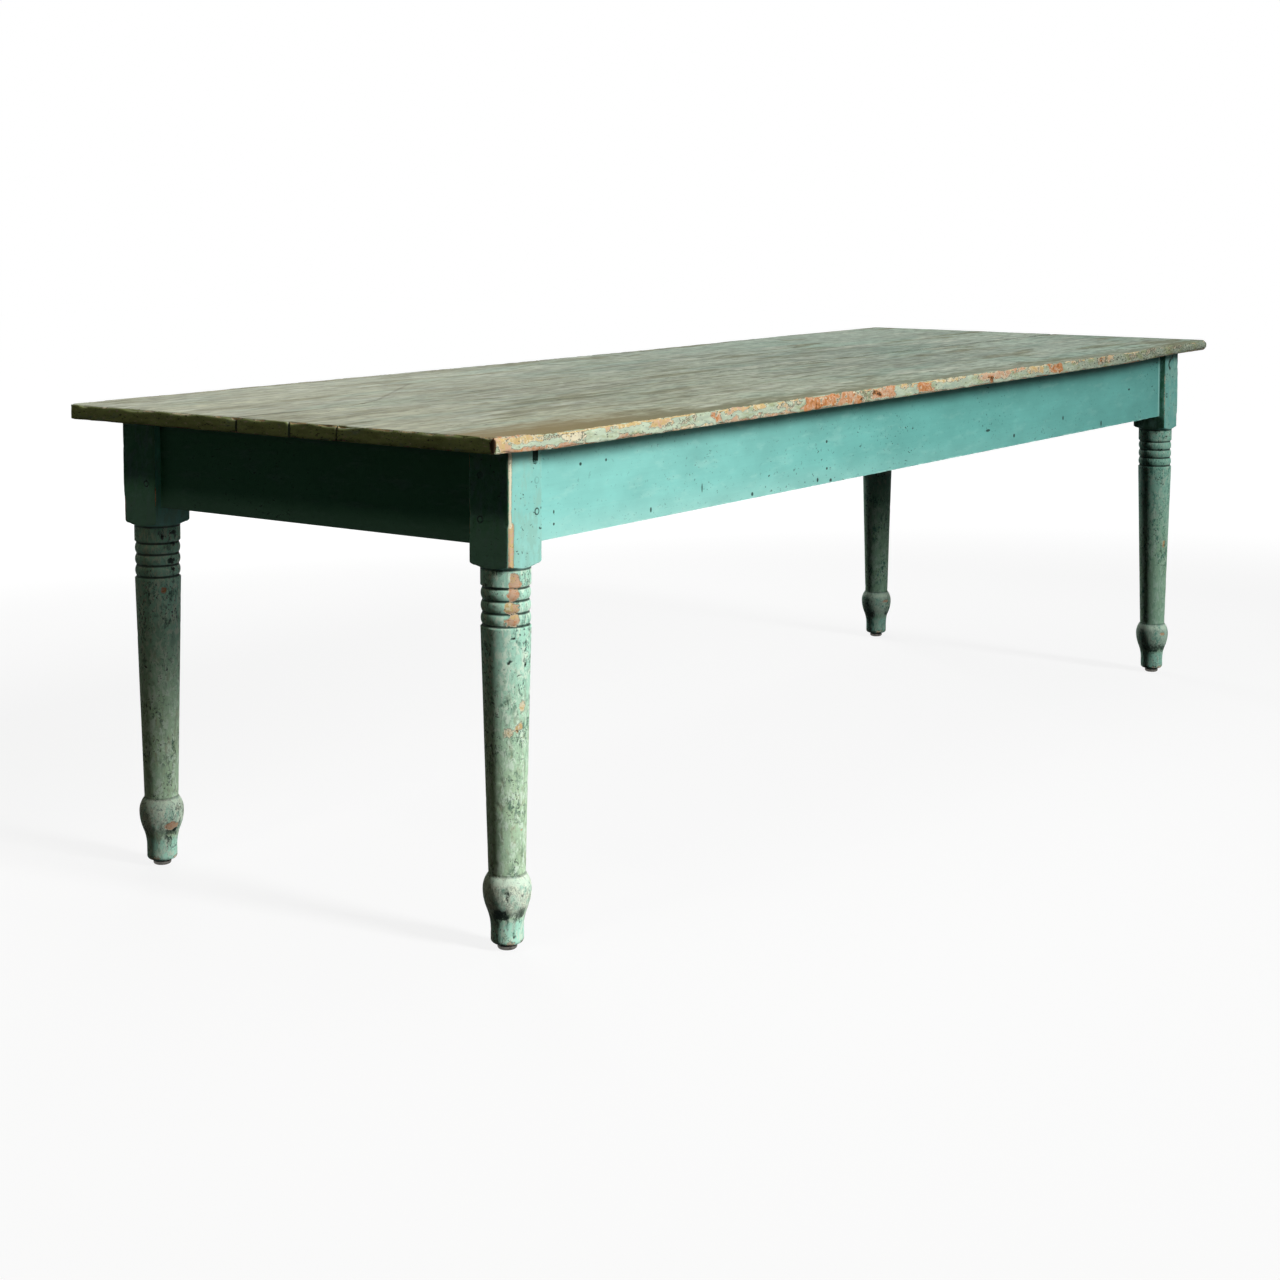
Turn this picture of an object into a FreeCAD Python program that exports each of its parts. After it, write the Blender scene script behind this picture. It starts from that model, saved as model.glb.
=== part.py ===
import FreeCAD, Part
import math
import operator
import os
from types import SimpleNamespace

import Sketcher
from FreeCAD import Placement, Rotation, Vector

# Farmhouse table in millimetres: a plank top on an apron frame with four turned legs.
# X runs along the table, Y across it and Z up, from the floor under the middle of the top.
# The front long side faces -Y and the left end faces -X.

SIZES = {
    # Plank top
    "table_length": 2600.0,
    "table_width": 880.0,
    "table_height": 762.0,
    "top_thickness": 24.0,
    "back_board_width": 380.0,
    "middle_board_width": 108.0,
    "board_gap": 0.6,
    "top_corner_radius": 18.0,
    "top_edge_round": 4.0,
    "underside_edge_round": 2.0,
    # Dowels across the joints of the boards
    "dowel_diameter": 9.0,
    "dowel_length": 60.0,
    "dowel_end_distance": 120.0,
    # Place of the legs under the top
    "end_overhang": 80.0,
    "side_overhang": 40.0,
    # Square block at the head of each leg
    "leg_block": 75.0,
    "block_length": 176.0,
    "block_arris": 1.5,
    "shoulder_rise": 3.0,
    "shoulder_round": 10.0,
    "shoulder_run_out": 1.0,
    # Turned neck, grooves and beads
    "neck_diameter": 74.0,
    "neck_length": 28.5,
    "groove_pitch": 18.3,
    "groove_depth": 2.8,
    "groove_lip": 3.0,
    "bead_diameter": 73.0,
    # Turned taper, bulb and ankle
    "taper_top_diameter": 74.0,
    "taper_foot_diameter": 55.0,
    "bulb_top_height": 104.0,
    "bulb_diameter": 72.0,
    "bulb_height": 80.5,
    "ankle_diameter": 49.0,
    "ankle_height": 22.5,
    "foot_round": 6.0,
    # Aprons and their tenons
    "apron_depth": 144.0,
    "apron_thickness": 22.0,
    "apron_setback": 12.0,
    "tenon_thickness": 10.0,
    "tenon_top_shoulder": 28.0,
    "tenon_foot_shoulder": 12.0,
    "tenon_tip_gap": 1.5,
    "joint_clearance": 0.15,
    # Pegs that pin the tenons
    "peg_diameter": 9.0,
    "peg_length": 42.0,
    "long_peg_inset": 12.0,
    "long_upper_peg_drop": 52.0,
    "long_lower_peg_drop": 97.0,
    "end_peg_inset": 21.0,
    "end_upper_peg_drop": 42.0,
    "end_lower_peg_drop": 106.0,
    # Open slot in the face of the near leg
    "slot_width": 12.0,
    "slot_length": 28.0,
    "slot_depth": 12.0,
    "slot_inset": 15.0,
    # Cross braces let into the long aprons
    "brace_spacing": 640.0,
    "brace_width": 70.0,
    "brace_depth": 45.0,
    "brace_lap": 12.0,
    "dovetail_shoulder": 9.0,
    # Screws up through the braces into the boards
    "screw_shank": 5.0,
    "screw_head": 10.0,
    "screw_head_height": 3.0,
    "screw_length": 50.0,
    "screw_bore_depth": 12.0,
    "screw_edge_distance": 45.0,
    # Glue blocks in the corner of aprons and top
    "glue_block_leg": 34.0,
    "glue_block_length": 110.0,
    # Nail-on glide under each foot
    "glide_diameter": 29.0,
    "glide_base_height": 6.0,
    "glide_base_round": 4.0,
    "glide_floor": 1.6,
    "cushion_diameter": 26.0,
    "cushion_height": 3.5,
    "nail_diameter": 3.0,
    "nail_head_diameter": 8.0,
    "nail_head_height": 1.2,
    "nail_grip": 18.0,
    "nail_point": 4.0,
    # How far a cut runs past what it cuts
    "overrun": 5.0,
}

BOARD_DOWELS = 9
GROOVES = 4
# Places of the braces as shares of their spacing
BRACE_SHARES = {"left": -1, "middle": 0, "right": 1}

# The front left leg and the front apron, and what quarter turns about Z carry them to
CORNERS = ("front_left", "front_right", "back_right", "back_left")
SIDES = ("front", "right", "back", "left")

UP = Vector(0, 0, 1)
# Less than any real difference between two directions
HAIR = 1e-6

doc =FreeCAD.newDocument("FarmhouseTable")
sheet = doc.addObject("Spreadsheet::Sheet", "Sizes")
for row, (name, value) in enumerate(SIZES.items(), start=1):
    sheet.set(f"A{row}", name.replace("_", " "))
    sheet.set(f"B{row}", str(value))
    sheet.setAlias(f"B{row}", name)
doc.recompute()

OPERATIONS = {"+": operator.add, "-": operator.sub, "*": operator.mul, "/": operator.truediv}


class Length:
    """A size with its value and the sheet formula that gives it."""

    def __init__(self, value, formula):
        self.value = value
        self.formula = formula

    def __add__(self, other):
        return combined(self, "+", other)

    def __radd__(self, other):
        return combined(other, "+", self)

    def __sub__(self, other):
        return combined(self, "-", other)

    def __rsub__(self, other):
        return combined(other, "-", self)

    def __mul__(self, other):
        return combined(self, "*", other)

    def __rmul__(self, other):
        return combined(other, "*", self)

    def __truediv__(self, other):
        return combined(self, "/", other)

    def __neg__(self):
        return combined(-1, "*", self)


def as_length(number):
    return number if isinstance(number, Length) else Length(number, str(number))


def combined(left, sign, right):
    left = as_length(left)
    right = as_length(right)
    value = OPERATIONS[sign](left.value, right.value)
    return Length(value, f"({left.formula} {sign} {right.formula})")


def bind(thing, **values):
    """Ties properties of an object to the sheet. A double underscore stands for a dot."""
    for name, value in values.items():
        thing.setExpression(name.replace("__", "."), as_length(value).formula)


def turned(x, y, quarter):
    """The point (x, y) after some quarter turns about Z."""
    for _ in range(quarter):
        x, y = -y, x
    return x, y


def leg_centre(quarter):
    """Where a leg stands. Seen from its own corner, each leg is the front left one."""
    return turned(-leg_x, -leg_y, quarter) if quarter % 2 == 0 else turned(-leg_y, -leg_x, quarter)


def peg_rows(quarter):
    """Peg inset and drops on the front face and on the side face of a leg, seen as the front left one."""
    return (long_pegs, end_pegs) if quarter % 2 == 0 else (end_pegs, long_pegs)


def place(thing, x=0, y=0, z=0, quarter=0, tilt=None):
    """Puts an object at (x, y, z), tilted first and then turned by quarter turns about Z."""
    turn = Rotation(UP, 90 * quarter)
    thing.Placement = Placement(Vector(), turn * tilt if tilt else turn)
    bind(thing, Placement__Base__x=x, Placement__Base__y=y, Placement__Base__z=z)


s = SimpleNamespace(**{name: Length(value, f"Sizes.{name}") for name, value in SIZES.items()})

half_length = s.table_length / 2
half_width = s.table_width / 2
underside = s.table_height - s.top_thickness
glide_height = s.glide_base_height + s.cushion_height
leg_length = underside - glide_height
block_foot = leg_length - s.block_length
half_block = s.leg_block / 2
leg_x = half_length - s.end_overhang - half_block
leg_y = half_width - s.side_overhang - half_block
apron_foot = underside - s.apron_depth
apron_face_x = half_length - s.end_overhang - s.apron_setback
apron_face_y = half_width - s.side_overhang - s.apron_setback
apron_inner_y = apron_face_y - s.apron_thickness
apron_inner_x = apron_face_x - s.apron_thickness
tenon_inset = (s.apron_thickness - s.tenon_thickness) / 2
tenon_height = s.apron_depth - s.tenon_top_shoulder - s.tenon_foot_shoulder
long_pegs = (s.long_peg_inset, (s.long_upper_peg_drop, s.long_lower_peg_drop))
end_pegs = (s.end_peg_inset, (s.end_upper_peg_drop, s.end_lower_peg_drop))
back_joint_y = half_width - s.back_board_width
front_joint_y = back_joint_y - s.middle_board_width
hole_radius = s.dowel_diameter / 2 + s.joint_clearance
peg_hole_radius = s.peg_diameter / 2 + s.joint_clearance

nodes = []


def origin_plane(body, role):
    return next(plane for plane in body.Origin.OriginFeatures if plane.Role == role)


def new_body(label):
    body = doc.addObject("PartDesign::Body", label)
    body.Label = label
    nodes.append(body)
    return body


def new_sketch(body, name, role, offset=0):
    """A sketch on one of the body's own origin planes, moved along its normal."""
    sketch = body.newObject("Sketcher::SketchObject", name)
    sketch.AttachmentSupport = [(origin_plane(body, role), "")]
    sketch.MapMode = "FlatFace"
    bind(sketch, AttachmentOffset__Base__z=offset)
    return sketch


def fix(sketch, kind, *where, value):
    """Adds one dimension to a sketch and ties it to the sheet."""
    index = sketch.addConstraint(Sketcher.Constraint(kind, *where, value.value))
    sketch.setExpression(f"Constraints[{index}]", value.formula)


def pin(sketch, edge, end, x, y):
    fix(sketch, "DistanceX", -1, 1, edge, end, value=as_length(x))
    fix(sketch, "DistanceY", -1, 1, edge, end, value=as_length(y))


def arc_between(start, stop, radius, bow):
    """An arc that bows towards +x for bow 1 and -x for bow -1, and whether it runs from start to stop.

    A sketch keeps every arc anticlockwise, so some run from stop to start.
    """
    chord = stop - start
    normal = Vector(chord.y, -chord.x, 0).normalize()
    if normal.x < 0:
        normal = -normal
    centre = (start + stop) / 2 - normal * (bow * math.sqrt(radius**2 - chord.Length**2 / 4))
    from_start = start - centre
    from_stop = stop - centre
    forward = from_start.cross(from_stop).z > 0
    first, last = (from_start, from_stop) if forward else (from_stop, from_start)
    ring = Part.Circle(centre, UP, radius)
    return Part.ArcOfCircle(ring, math.atan2(first.y, first.x), math.atan2(last.y, last.x)), forward


def outline(sketch, corners):
    """A closed outline. A corner is (x, y), or (x, y, radius, bow) where an arc leads to it."""
    spots = [Vector(as_length(c[0]).value, as_length(c[1]).value, 0) for c in corners]
    first = sketch.GeometryCount
    ends = []
    for number, corner in enumerate(corners):
        start = spots[number - 1]
        stop = spots[number]
        if len(corner) == 2:
            edge, forward = Part.LineSegment(start, stop), True
        else:
            edge, forward = arc_between(start, stop, corner[2].value, corner[3])
        sketch.addGeometry(edge, False)
        ends.append((1, 2) if forward else (2, 1))
    for number, corner in enumerate(corners):
        following = (number + 1) % len(corners)
        sketch.addConstraint(Sketcher.Constraint(
            "Coincident", first + number, ends[number][1], first + following, ends[following][0]))
        pin(sketch, first + number, ends[number][1], corner[0], corner[1])
        if len(corner) == 4:
            fix(sketch, "Radius", first + number, value=corner[2])


def rectangle(sketch, x0, y0, x1, y1):
    outline(sketch, [(x0, y0), (x1, y0), (x1, y1), (x0, y1)])


def circle(sketch, x, y, radius):
    centre = Vector(as_length(x).value, as_length(y).value, 0)
    edge = sketch.addGeometry(Part.Circle(centre, UP, radius.value), False)
    pin(sketch, edge, 3, x, y)
    fix(sketch, "Radius", edge, value=radius)


def pad(body, sketch, length):
    feature = body.newObject("PartDesign::Pad", sketch.Name + "Pad")
    feature.Profile = sketch
    bind(feature, Length=length)
    doc.recompute()
    return feature


def cut(body, sketch, length, backwards=False):
    """A pocket from the sketch, against its normal or, backwards, along it."""
    before = body.Shape.Volume
    feature = body.newObject("PartDesign::Pocket", sketch.Name + "Cut")
    feature.Profile = sketch
    feature.Reversed = backwards
    bind(feature, Length=length)
    doc.recompute()
    if not body.Shape.Volume < before:
        raise RuntimeError(f"{feature.Name} in {body.Label} cuts nothing")
    return feature


def revolved(body, name, corners, kind="PartDesign::Revolution"):
    """Turns an outline of radius and height about the body's upright axis, to add it or cut it away."""
    sketch = new_sketch(body, name, "XZ_Plane")
    outline(sketch, corners)
    feature = body.newObject(kind, name + "_turned")
    feature.Profile = sketch
    feature.ReferenceAxis = (sketch, ["V_Axis"])
    feature.Angle = 360
    doc.recompute()


def round_edges(body, name, radius, wanted):
    """Rounds the edges of a body that the test picks out."""
    base = body.Tip
    picked = [f"Edge{i}" for i, edge in enumerate(base.Shape.Edges, start=1) if wanted(edge)]
    feature = body.newObject("PartDesign::Fillet", name)
    feature.Base = (base, picked)
    bind(feature, Radius=radius)
    doc.recompute()


def upright(edge):
    straight = edge.Curve.TypeId == "Part::GeomLine"
    return straight and edge.tangentAt(edge.FirstParameter).cross(UP).Length < HAIR


def compound(label, pieces):
    """One node that holds several separate pieces."""
    group = doc.addObject("Part::Compound", label)
    group.Label = label
    group.Links = pieces
    nodes.append(group)


def cylinder(name, radius, height):
    piece = doc.addObject("Part::Cylinder", name)
    bind(piece, Radius=radius, Height=height)
    return piece


def dowel_places():
    pitch = (s.table_length - 2 * s.dowel_end_distance) / (BOARD_DOWELS - 1)
    return [s.dowel_end_distance - half_length + number * pitch for number in range(BOARD_DOWELS)]


def brace_places():
    return [share * s.brace_spacing for share in BRACE_SHARES.values()]


def block_places(along):
    """Where glue blocks stand: on a long apron between braces and legs, on a short one at its quarters."""
    if along:
        outer = (s.brace_spacing + leg_x - half_block) / 2
        return (-outer, -s.brace_spacing / 2, s.brace_spacing / 2, outer)
    quarter_span = (leg_y - half_block) / 2
    return (-quarter_span, quarter_span)


def screw_places():
    """Across the table, how far from the middle each screw of a brace is."""
    edge = s.screw_edge_distance
    return (apron_inner_y - edge, back_joint_y + edge, (back_joint_y + front_joint_y) / 2,
            front_joint_y - edge, edge - apron_inner_y)


def build_board(label, front, back, joints):
    """One board of the top from y front to y back, drilled for dowels at each joint."""
    body = new_body(label)
    plan = new_sketch(body, label + "_plan", "XY_Plane")
    rectangle(plan, -half_length, front, half_length, back)
    pad(body, plan, s.top_thickness)

    def outer(y):
        return abs(abs(y) - half_width.value) < s.board_gap.value

    corners = [edge for edge in body.Shape.Edges if upright(edge) and outer(edge.Vertexes[0].Y)]
    if corners:
        round_edges(body, label + "_corners", s.top_corner_radius,
                    lambda edge: upright(edge) and outer(edge.Vertexes[0].Y))
    seams = [y for y, _ in joints]

    def on_rim(edge, height):
        box = edge.BoundBox
        level = abs(box.ZMin - height) + abs(box.ZMax - height) < s.board_gap.value
        on_seam = any(abs(box.YMin - y.value) + abs(box.YMax - y.value) < s.board_gap.value for y in seams)
        return level and not on_seam

    round_edges(body, label + "_rim", s.top_edge_round,
                lambda edge: on_rim(edge, s.top_thickness.value))
    round_edges(body, label + "_lower_rim", s.underside_edge_round, lambda edge: on_rim(edge, 0))
    for number, (y, backwards) in enumerate(joints):
        holes = new_sketch(body, f"{label}_dowel_holes_{number}", "XZ_Plane", -y)
        for x in dowel_places():
            circle(holes, x, s.top_thickness / 2, hole_radius)
        cut(body, holes, s.dowel_length / 2 + s.joint_clearance, backwards)
    pilots = new_sketch(body, label + "_screw_pilots", "XY_Plane")
    for x in brace_places():
        for y in screw_places():
            if front.value < y.value < back.value:
                circle(pilots, x, y, s.screw_shank / 2 + s.joint_clearance)
    cut(body, pilots, s.screw_length - s.brace_depth + s.screw_bore_depth + s.joint_clearance, True)
    place(body, z=underside)


def build_top():
    half_gap = s.board_gap / 2
    build_board("top_board_back", back_joint_y + half_gap, half_width,
                [(back_joint_y + half_gap, False)])
    build_board("top_board_middle", front_joint_y + half_gap, back_joint_y - half_gap,
                [(back_joint_y - half_gap, True), (front_joint_y + half_gap, False)])
    build_board("top_board_front", -half_width, front_joint_y - half_gap,
                [(front_joint_y - half_gap, True)])
    across = Rotation(Vector(1, 0, 0), -90)
    for label, y in (("dowels_back_joint", back_joint_y), ("dowels_front_joint", front_joint_y)):
        dowels = []
        for number, x in enumerate(dowel_places()):
            dowel = cylinder(f"{label}_{number}", s.dowel_diameter / 2, s.dowel_length)
            place(dowel, x, y - s.dowel_length / 2, underside + s.top_thickness / 2, tilt=across)
            dowels.append(dowel)
        compound(label, dowels)


def spindle_outline():
    """The turned part of a leg from the foot up: radius, height and, for an arc, its radius and bow."""
    ankle = s.ankle_diameter / 2
    bulb = s.bulb_diameter / 2
    taper = s.taper_foot_diameter / 2
    neck = s.neck_diameter / 2
    groove = s.bead_diameter / 2 - s.groove_depth
    swell = bulb - ankle
    swell_height = s.bulb_height - s.ankle_height
    swell_radius = (swell * swell + swell_height * swell_height) / (4 * swell)
    cap = bulb - taper
    cap_height = s.bulb_top_height - s.bulb_height
    cap_radius = (cap * cap + cap_height * cap_height) / (2 * cap)
    half_pitch = s.groove_pitch / 2
    bead_radius = (half_pitch * half_pitch + s.groove_depth * s.groove_depth) / (2 * s.groove_depth)
    first_groove = block_foot - s.neck_length
    last_groove = first_groove - (GROOVES - 1) * s.groove_pitch
    beads = [(groove, last_groove + step * s.groove_pitch, bead_radius, 1) for step in range(1, GROOVES)]
    return [
        (0, 0),
        (ankle - s.foot_round, 0),
        (ankle, s.foot_round, s.foot_round, 1),
        (ankle, s.ankle_height),
        (ankle + swell / 2, s.ankle_height + swell_height / 2, swell_radius, -1),
        (bulb, s.bulb_height, swell_radius, 1),
        (taper, s.bulb_top_height, cap_radius, 1),
        (s.taper_top_diameter / 2, last_groove - s.groove_lip),
        (groove, last_groove),
        *beads,
        (neck, first_groove + s.groove_lip),
        (neck, block_foot + s.shoulder_rise),
        (0, block_foot + s.shoulder_rise),
    ]


def shoulder_outline():
    """What the lathe takes off the corners at the foot of the square block."""
    neck = s.neck_diameter / 2
    corner = s.leg_block / math.sqrt(2) + s.shoulder_run_out
    round_foot = block_foot + s.shoulder_rise
    return [
        (neck, block_foot),
        (corner - s.shoulder_round, round_foot),
        (corner, round_foot + s.shoulder_round, s.shoulder_round, 1),
        (corner + s.overrun, round_foot + s.shoulder_round),
        (corner + s.overrun, block_foot - s.overrun),
        (neck, block_foot - s.overrun),
    ]


def build_leg(corner, quarter):
    """One leg, seen as the front left one: its outer faces look to -X and -Y."""
    label = "leg_" + corner
    body = new_body(label)
    section = new_sketch(body, label + "_section", "XY_Plane", block_foot)
    rectangle(section, -half_block, -half_block, half_block, half_block)
    pad(body, section, s.block_length)
    round_edges(body, label + "_arrises", s.block_arris, upright)
    before = body.Shape.Volume
    revolved(body, label + "_shoulder", shoulder_outline(), "PartDesign::Groove")
    if not body.Shape.Volume < before:
        raise RuntimeError(f"the shoulder of {label} cuts nothing")
    revolved(body, label + "_spindle", spindle_outline())

    # Two mortises that meet inside the block, cut as one L from above
    near = s.apron_setback + tenon_inset - s.joint_clearance - half_block
    far = near + s.tenon_thickness + 2 * s.joint_clearance
    mouth = half_block + s.overrun
    mortise_foot = apron_foot - glide_height + s.tenon_foot_shoulder - s.joint_clearance
    mortises = new_sketch(body, label + "_mortises", "XY_Plane", mortise_foot)
    outline(mortises, [(near, near), (mouth, near), (mouth, far), (far, far), (far, mouth), (near, mouth)])
    cut(body, mortises, tenon_height + 2 * s.joint_clearance, True)

    front_pegs, side_pegs = peg_rows(quarter)
    for role, side, (inset, drops), backwards in (("XZ_Plane", half_block, front_pegs, False),
                                                  ("YZ_Plane", -half_block, side_pegs, True)):
        drilled = new_sketch(body, f"{label}_peg_holes_{role[:2].lower()}", role, side)
        for drop in drops:
            circle(drilled, half_block - inset, leg_length - drop, peg_hole_radius)
        cut(body, drilled, s.peg_length + s.joint_clearance, backwards)

    nail_hole = new_sketch(body, label + "_nail_hole", "XY_Plane")
    circle(nail_hole, 0, 0, s.nail_diameter / 2 + s.joint_clearance)
    cut(body, nail_hole, s.nail_grip + s.joint_clearance, True)
    if corner == "front_left":
        cut_slot(body, label)
    x, y = leg_centre(quarter)
    place(body, x, y, glide_height, quarter)


def cut_slot(body, label):
    """The slot in the front face beside the apron, open at the top and round at its foot."""
    left = half_block - s.slot_inset - s.slot_width / 2
    right = left + s.slot_width
    foot = leg_length - s.slot_length
    slot = new_sketch(body, label + "_slot", "XZ_Plane", half_block)
    rectangle(slot, left, foot + s.slot_width / 2, right, leg_length + s.overrun)
    cut(body, slot, s.slot_depth)
    slot_foot = new_sketch(body, label + "_slot_foot", "XZ_Plane", half_block)
    circle(slot_foot, (left + right) / 2, foot + s.slot_width / 2, s.slot_width / 2)
    cut(body, slot_foot, s.slot_depth)


def build_pegs(corner, quarter):
    """The pegs that pin both tenons of a leg, driven in flush from its two outer faces."""
    leg_at = leg_centre(quarter)
    front_pegs, side_pegs = peg_rows(quarter)
    into_front = Rotation(Vector(1, 0, 0), -90)
    into_side = Rotation(Vector(0, 1, 0), 90)
    pegs = []
    for inset, drops, faces_front in ((*front_pegs, True), (*side_pegs, False)):
        line = half_block - inset
        head = (line, -half_block) if faces_front else (-half_block, line)
        dx, dy = turned(*head, quarter)
        for drop in drops:
            peg = cylinder(f"peg_{corner}_{len(pegs)}", s.peg_diameter / 2, s.peg_length)
            place(peg, leg_at[0] + dx, leg_at[1] + dy, underside - drop, quarter,
                  into_front if faces_front else into_side)
            pegs.append(peg)
    compound("pegs_" + corner, pegs)


def build_apron(side, quarter):
    """One apron, seen as the front one: its outer face is at y 0 and its foot at z 0."""
    label = "apron_" + side
    along = quarter % 2 == 0
    half_span = (leg_x if along else leg_y) - half_block
    body = new_body(label)
    plan = new_sketch(body, label + "_plan", "XY_Plane")
    rectangle(plan, -half_span, 0, half_span, s.apron_thickness)
    pad(body, plan, s.apron_depth)

    # Tenons with mitred tips, so that two meet inside a leg
    near = tenon_inset
    far = tenon_inset + s.tenon_thickness
    reach = half_span + s.leg_block - s.apron_setback - s.tenon_tip_gap
    tenons = new_sketch(body, label + "_tenons", "XY_Plane", s.tenon_foot_shoulder)
    for way in (-1, 1):
        outline(tenons, [(way * half_span, near), (way * (reach - near), near),
                         (way * (reach - far), far), (way * half_span, far)])
    pad(body, tenons, tenon_height)

    drilled = new_sketch(body, label + "_peg_holes", "XZ_Plane")
    inset, drops = long_pegs if along else end_pegs
    for way in (-1, 1):
        for drop in drops:
            circle(drilled, way * (half_span + inset), s.apron_depth - drop, peg_hole_radius)
    cut(body, drilled, s.apron_thickness)

    if along:
        notches = new_sketch(body, label + "_brace_notches", "XY_Plane", s.apron_depth)
        depth = s.brace_lap + s.joint_clearance
        tip = s.apron_thickness - depth
        wide = s.brace_width / 2 + s.joint_clearance
        narrow = wide - s.dovetail_shoulder
        mouth = s.apron_thickness
        for x in brace_places():
            outline(notches, [(x - wide, tip), (x + wide, tip), (x + narrow, mouth), (x - narrow, mouth)])
        cut(body, notches, s.brace_depth + s.joint_clearance)
    x, y = turned(0, -(apron_face_y if along else apron_face_x), quarter)
    place(body, x, y, apron_foot, quarter)


def build_brace(side, x):
    """A cross brace under the boards, with a dovetail at each end let into a long apron."""
    label = "cross_brace_" + side
    body = new_body(label)
    plan = new_sketch(body, label + "_plan", "XY_Plane")
    half = s.brace_width / 2
    waist = half - s.dovetail_shoulder
    tip = apron_inner_y + s.brace_lap
    edge = apron_inner_y
    outline(plan, [(-half, -tip), (half, -tip), (waist, -edge), (half, -edge),
                   (half, edge), (waist, edge), (half, tip), (-half, tip),
                   (-waist, edge), (-half, edge), (-half, -edge), (-waist, -edge)])
    pad(body, plan, s.brace_depth)
    through = new_sketch(body, label + "_screw_holes", "XY_Plane")
    bores = new_sketch(body, label + "_screw_bores", "XY_Plane")
    for y in screw_places():
        circle(through, 0, y, s.screw_shank / 2 + s.joint_clearance)
        circle(bores, 0, y, s.screw_head / 2 + s.joint_clearance)
    cut(body, through, s.brace_depth, True)
    cut(body, bores, s.screw_bore_depth, True)
    place(body, x, 0, underside - s.brace_depth)

    screws = []
    for number, y in enumerate(screw_places()):
        shank = cylinder(f"{label}_screw_shank_{number}", s.screw_shank / 2, s.screw_length)
        head = cylinder(f"{label}_screw_head_{number}", s.screw_head / 2, s.screw_head_height)
        screw = doc.addObject("Part::MultiFuse", f"{label}_screw_{number}")
        screw.Shapes = [shank, head]
        seat = underside - s.brace_depth + s.screw_bore_depth
        place(shank, x, y, seat)
        place(head, x, y, seat - s.screw_head_height)
        screws.append(screw)
    compound("brace_screws_" + side, screws)


def build_glue_blocks(side, quarter):
    """Three-cornered blocks glued between the inner face of an apron and the boards."""
    along = quarter % 2 == 0
    face = apron_inner_y if along else apron_inner_x
    blocks = []
    for number, middle in enumerate(block_places(along)):
        block = doc.addObject("Part::Wedge", f"glue_block_{side}_{number}")
        bind(block, Xmin=0, Xmax=s.glue_block_length, X2min=0, X2max=s.glue_block_length, Ymin=0,
             Ymax=s.glue_block_leg, Zmin=-s.glue_block_leg, Zmax=0, Z2min=0, Z2max=0)
        x, y = turned(middle - s.glue_block_length / 2, -face, quarter)
        place(block, x, y, underside, quarter)
        blocks.append(block)
    compound("glue_blocks_" + side, blocks)


def build_glide(corner, quarter):
    """A pressed cap, a rubber ring above it and the nail through both into the foot."""
    x, y = leg_centre(quarter)
    rim = s.glide_diameter / 2
    recess = s.nail_head_diameter / 2 + s.joint_clearance
    base = new_body("glide_base_" + corner)
    revolved(base, base.Label + "_section", [
        (0, 0), (rim - s.glide_base_round, 0), (rim, s.glide_base_round, s.glide_base_round, 1),
        (rim, s.glide_base_height), (recess, s.glide_base_height),
        (recess, s.glide_floor), (0, s.glide_floor)])
    place(base, x, y, 0, quarter)

    hole = s.nail_diameter / 2 + s.joint_clearance
    ring = s.cushion_diameter / 2
    cushion = new_body("glide_cushion_" + corner)
    revolved(cushion, cushion.Label + "_section", [
        (hole, 0), (ring, 0), (ring, s.cushion_height), (hole, s.cushion_height)])
    place(cushion, x, y, s.glide_base_height, quarter)

    shank = s.nail_diameter / 2
    head = s.nail_head_diameter / 2
    tip = glide_height - s.glide_floor + s.nail_grip
    nail = new_body("glide_nail_" + corner)
    revolved(nail, nail.Label + "_section", [
        (0, 0), (head, 0), (head, s.nail_head_height), (shank, s.nail_head_height),
        (shank, tip - s.nail_point), (0, tip)])
    place(nail, x, y, s.glide_floor, quarter)


def check_model():
    """Stops if any object failed or any node isn't made of whole, valid solids."""
    for thing in doc.Objects:
        if {"Invalid", "Error"} & set(thing.State):
            raise RuntimeError(f"{thing.Label} failed: {thing.State}")
    for node in nodes:
        shape = node.Shape
        if shape.isNull() or not shape.isValid() or not shape.Solids:
            raise RuntimeError(f"{node.Label} has no valid solid")


build_top()
for quarter, corner in enumerate(CORNERS):
    build_leg(corner, quarter)
    build_pegs(corner, quarter)
    build_glide(corner, quarter)
for quarter, side in enumerate(SIDES):
    build_apron(side, quarter)
    build_glue_blocks(side, quarter)
for side, x in zip(BRACE_SHARES, brace_places()):
    build_brace(side, x)
doc.recompute()
check_model()

os.makedirs("parts", exist_ok=True)
for node in nodes:
    node.Shape.exportStep(os.path.join("parts", node.Label + ".step"))
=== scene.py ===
import math

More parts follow.
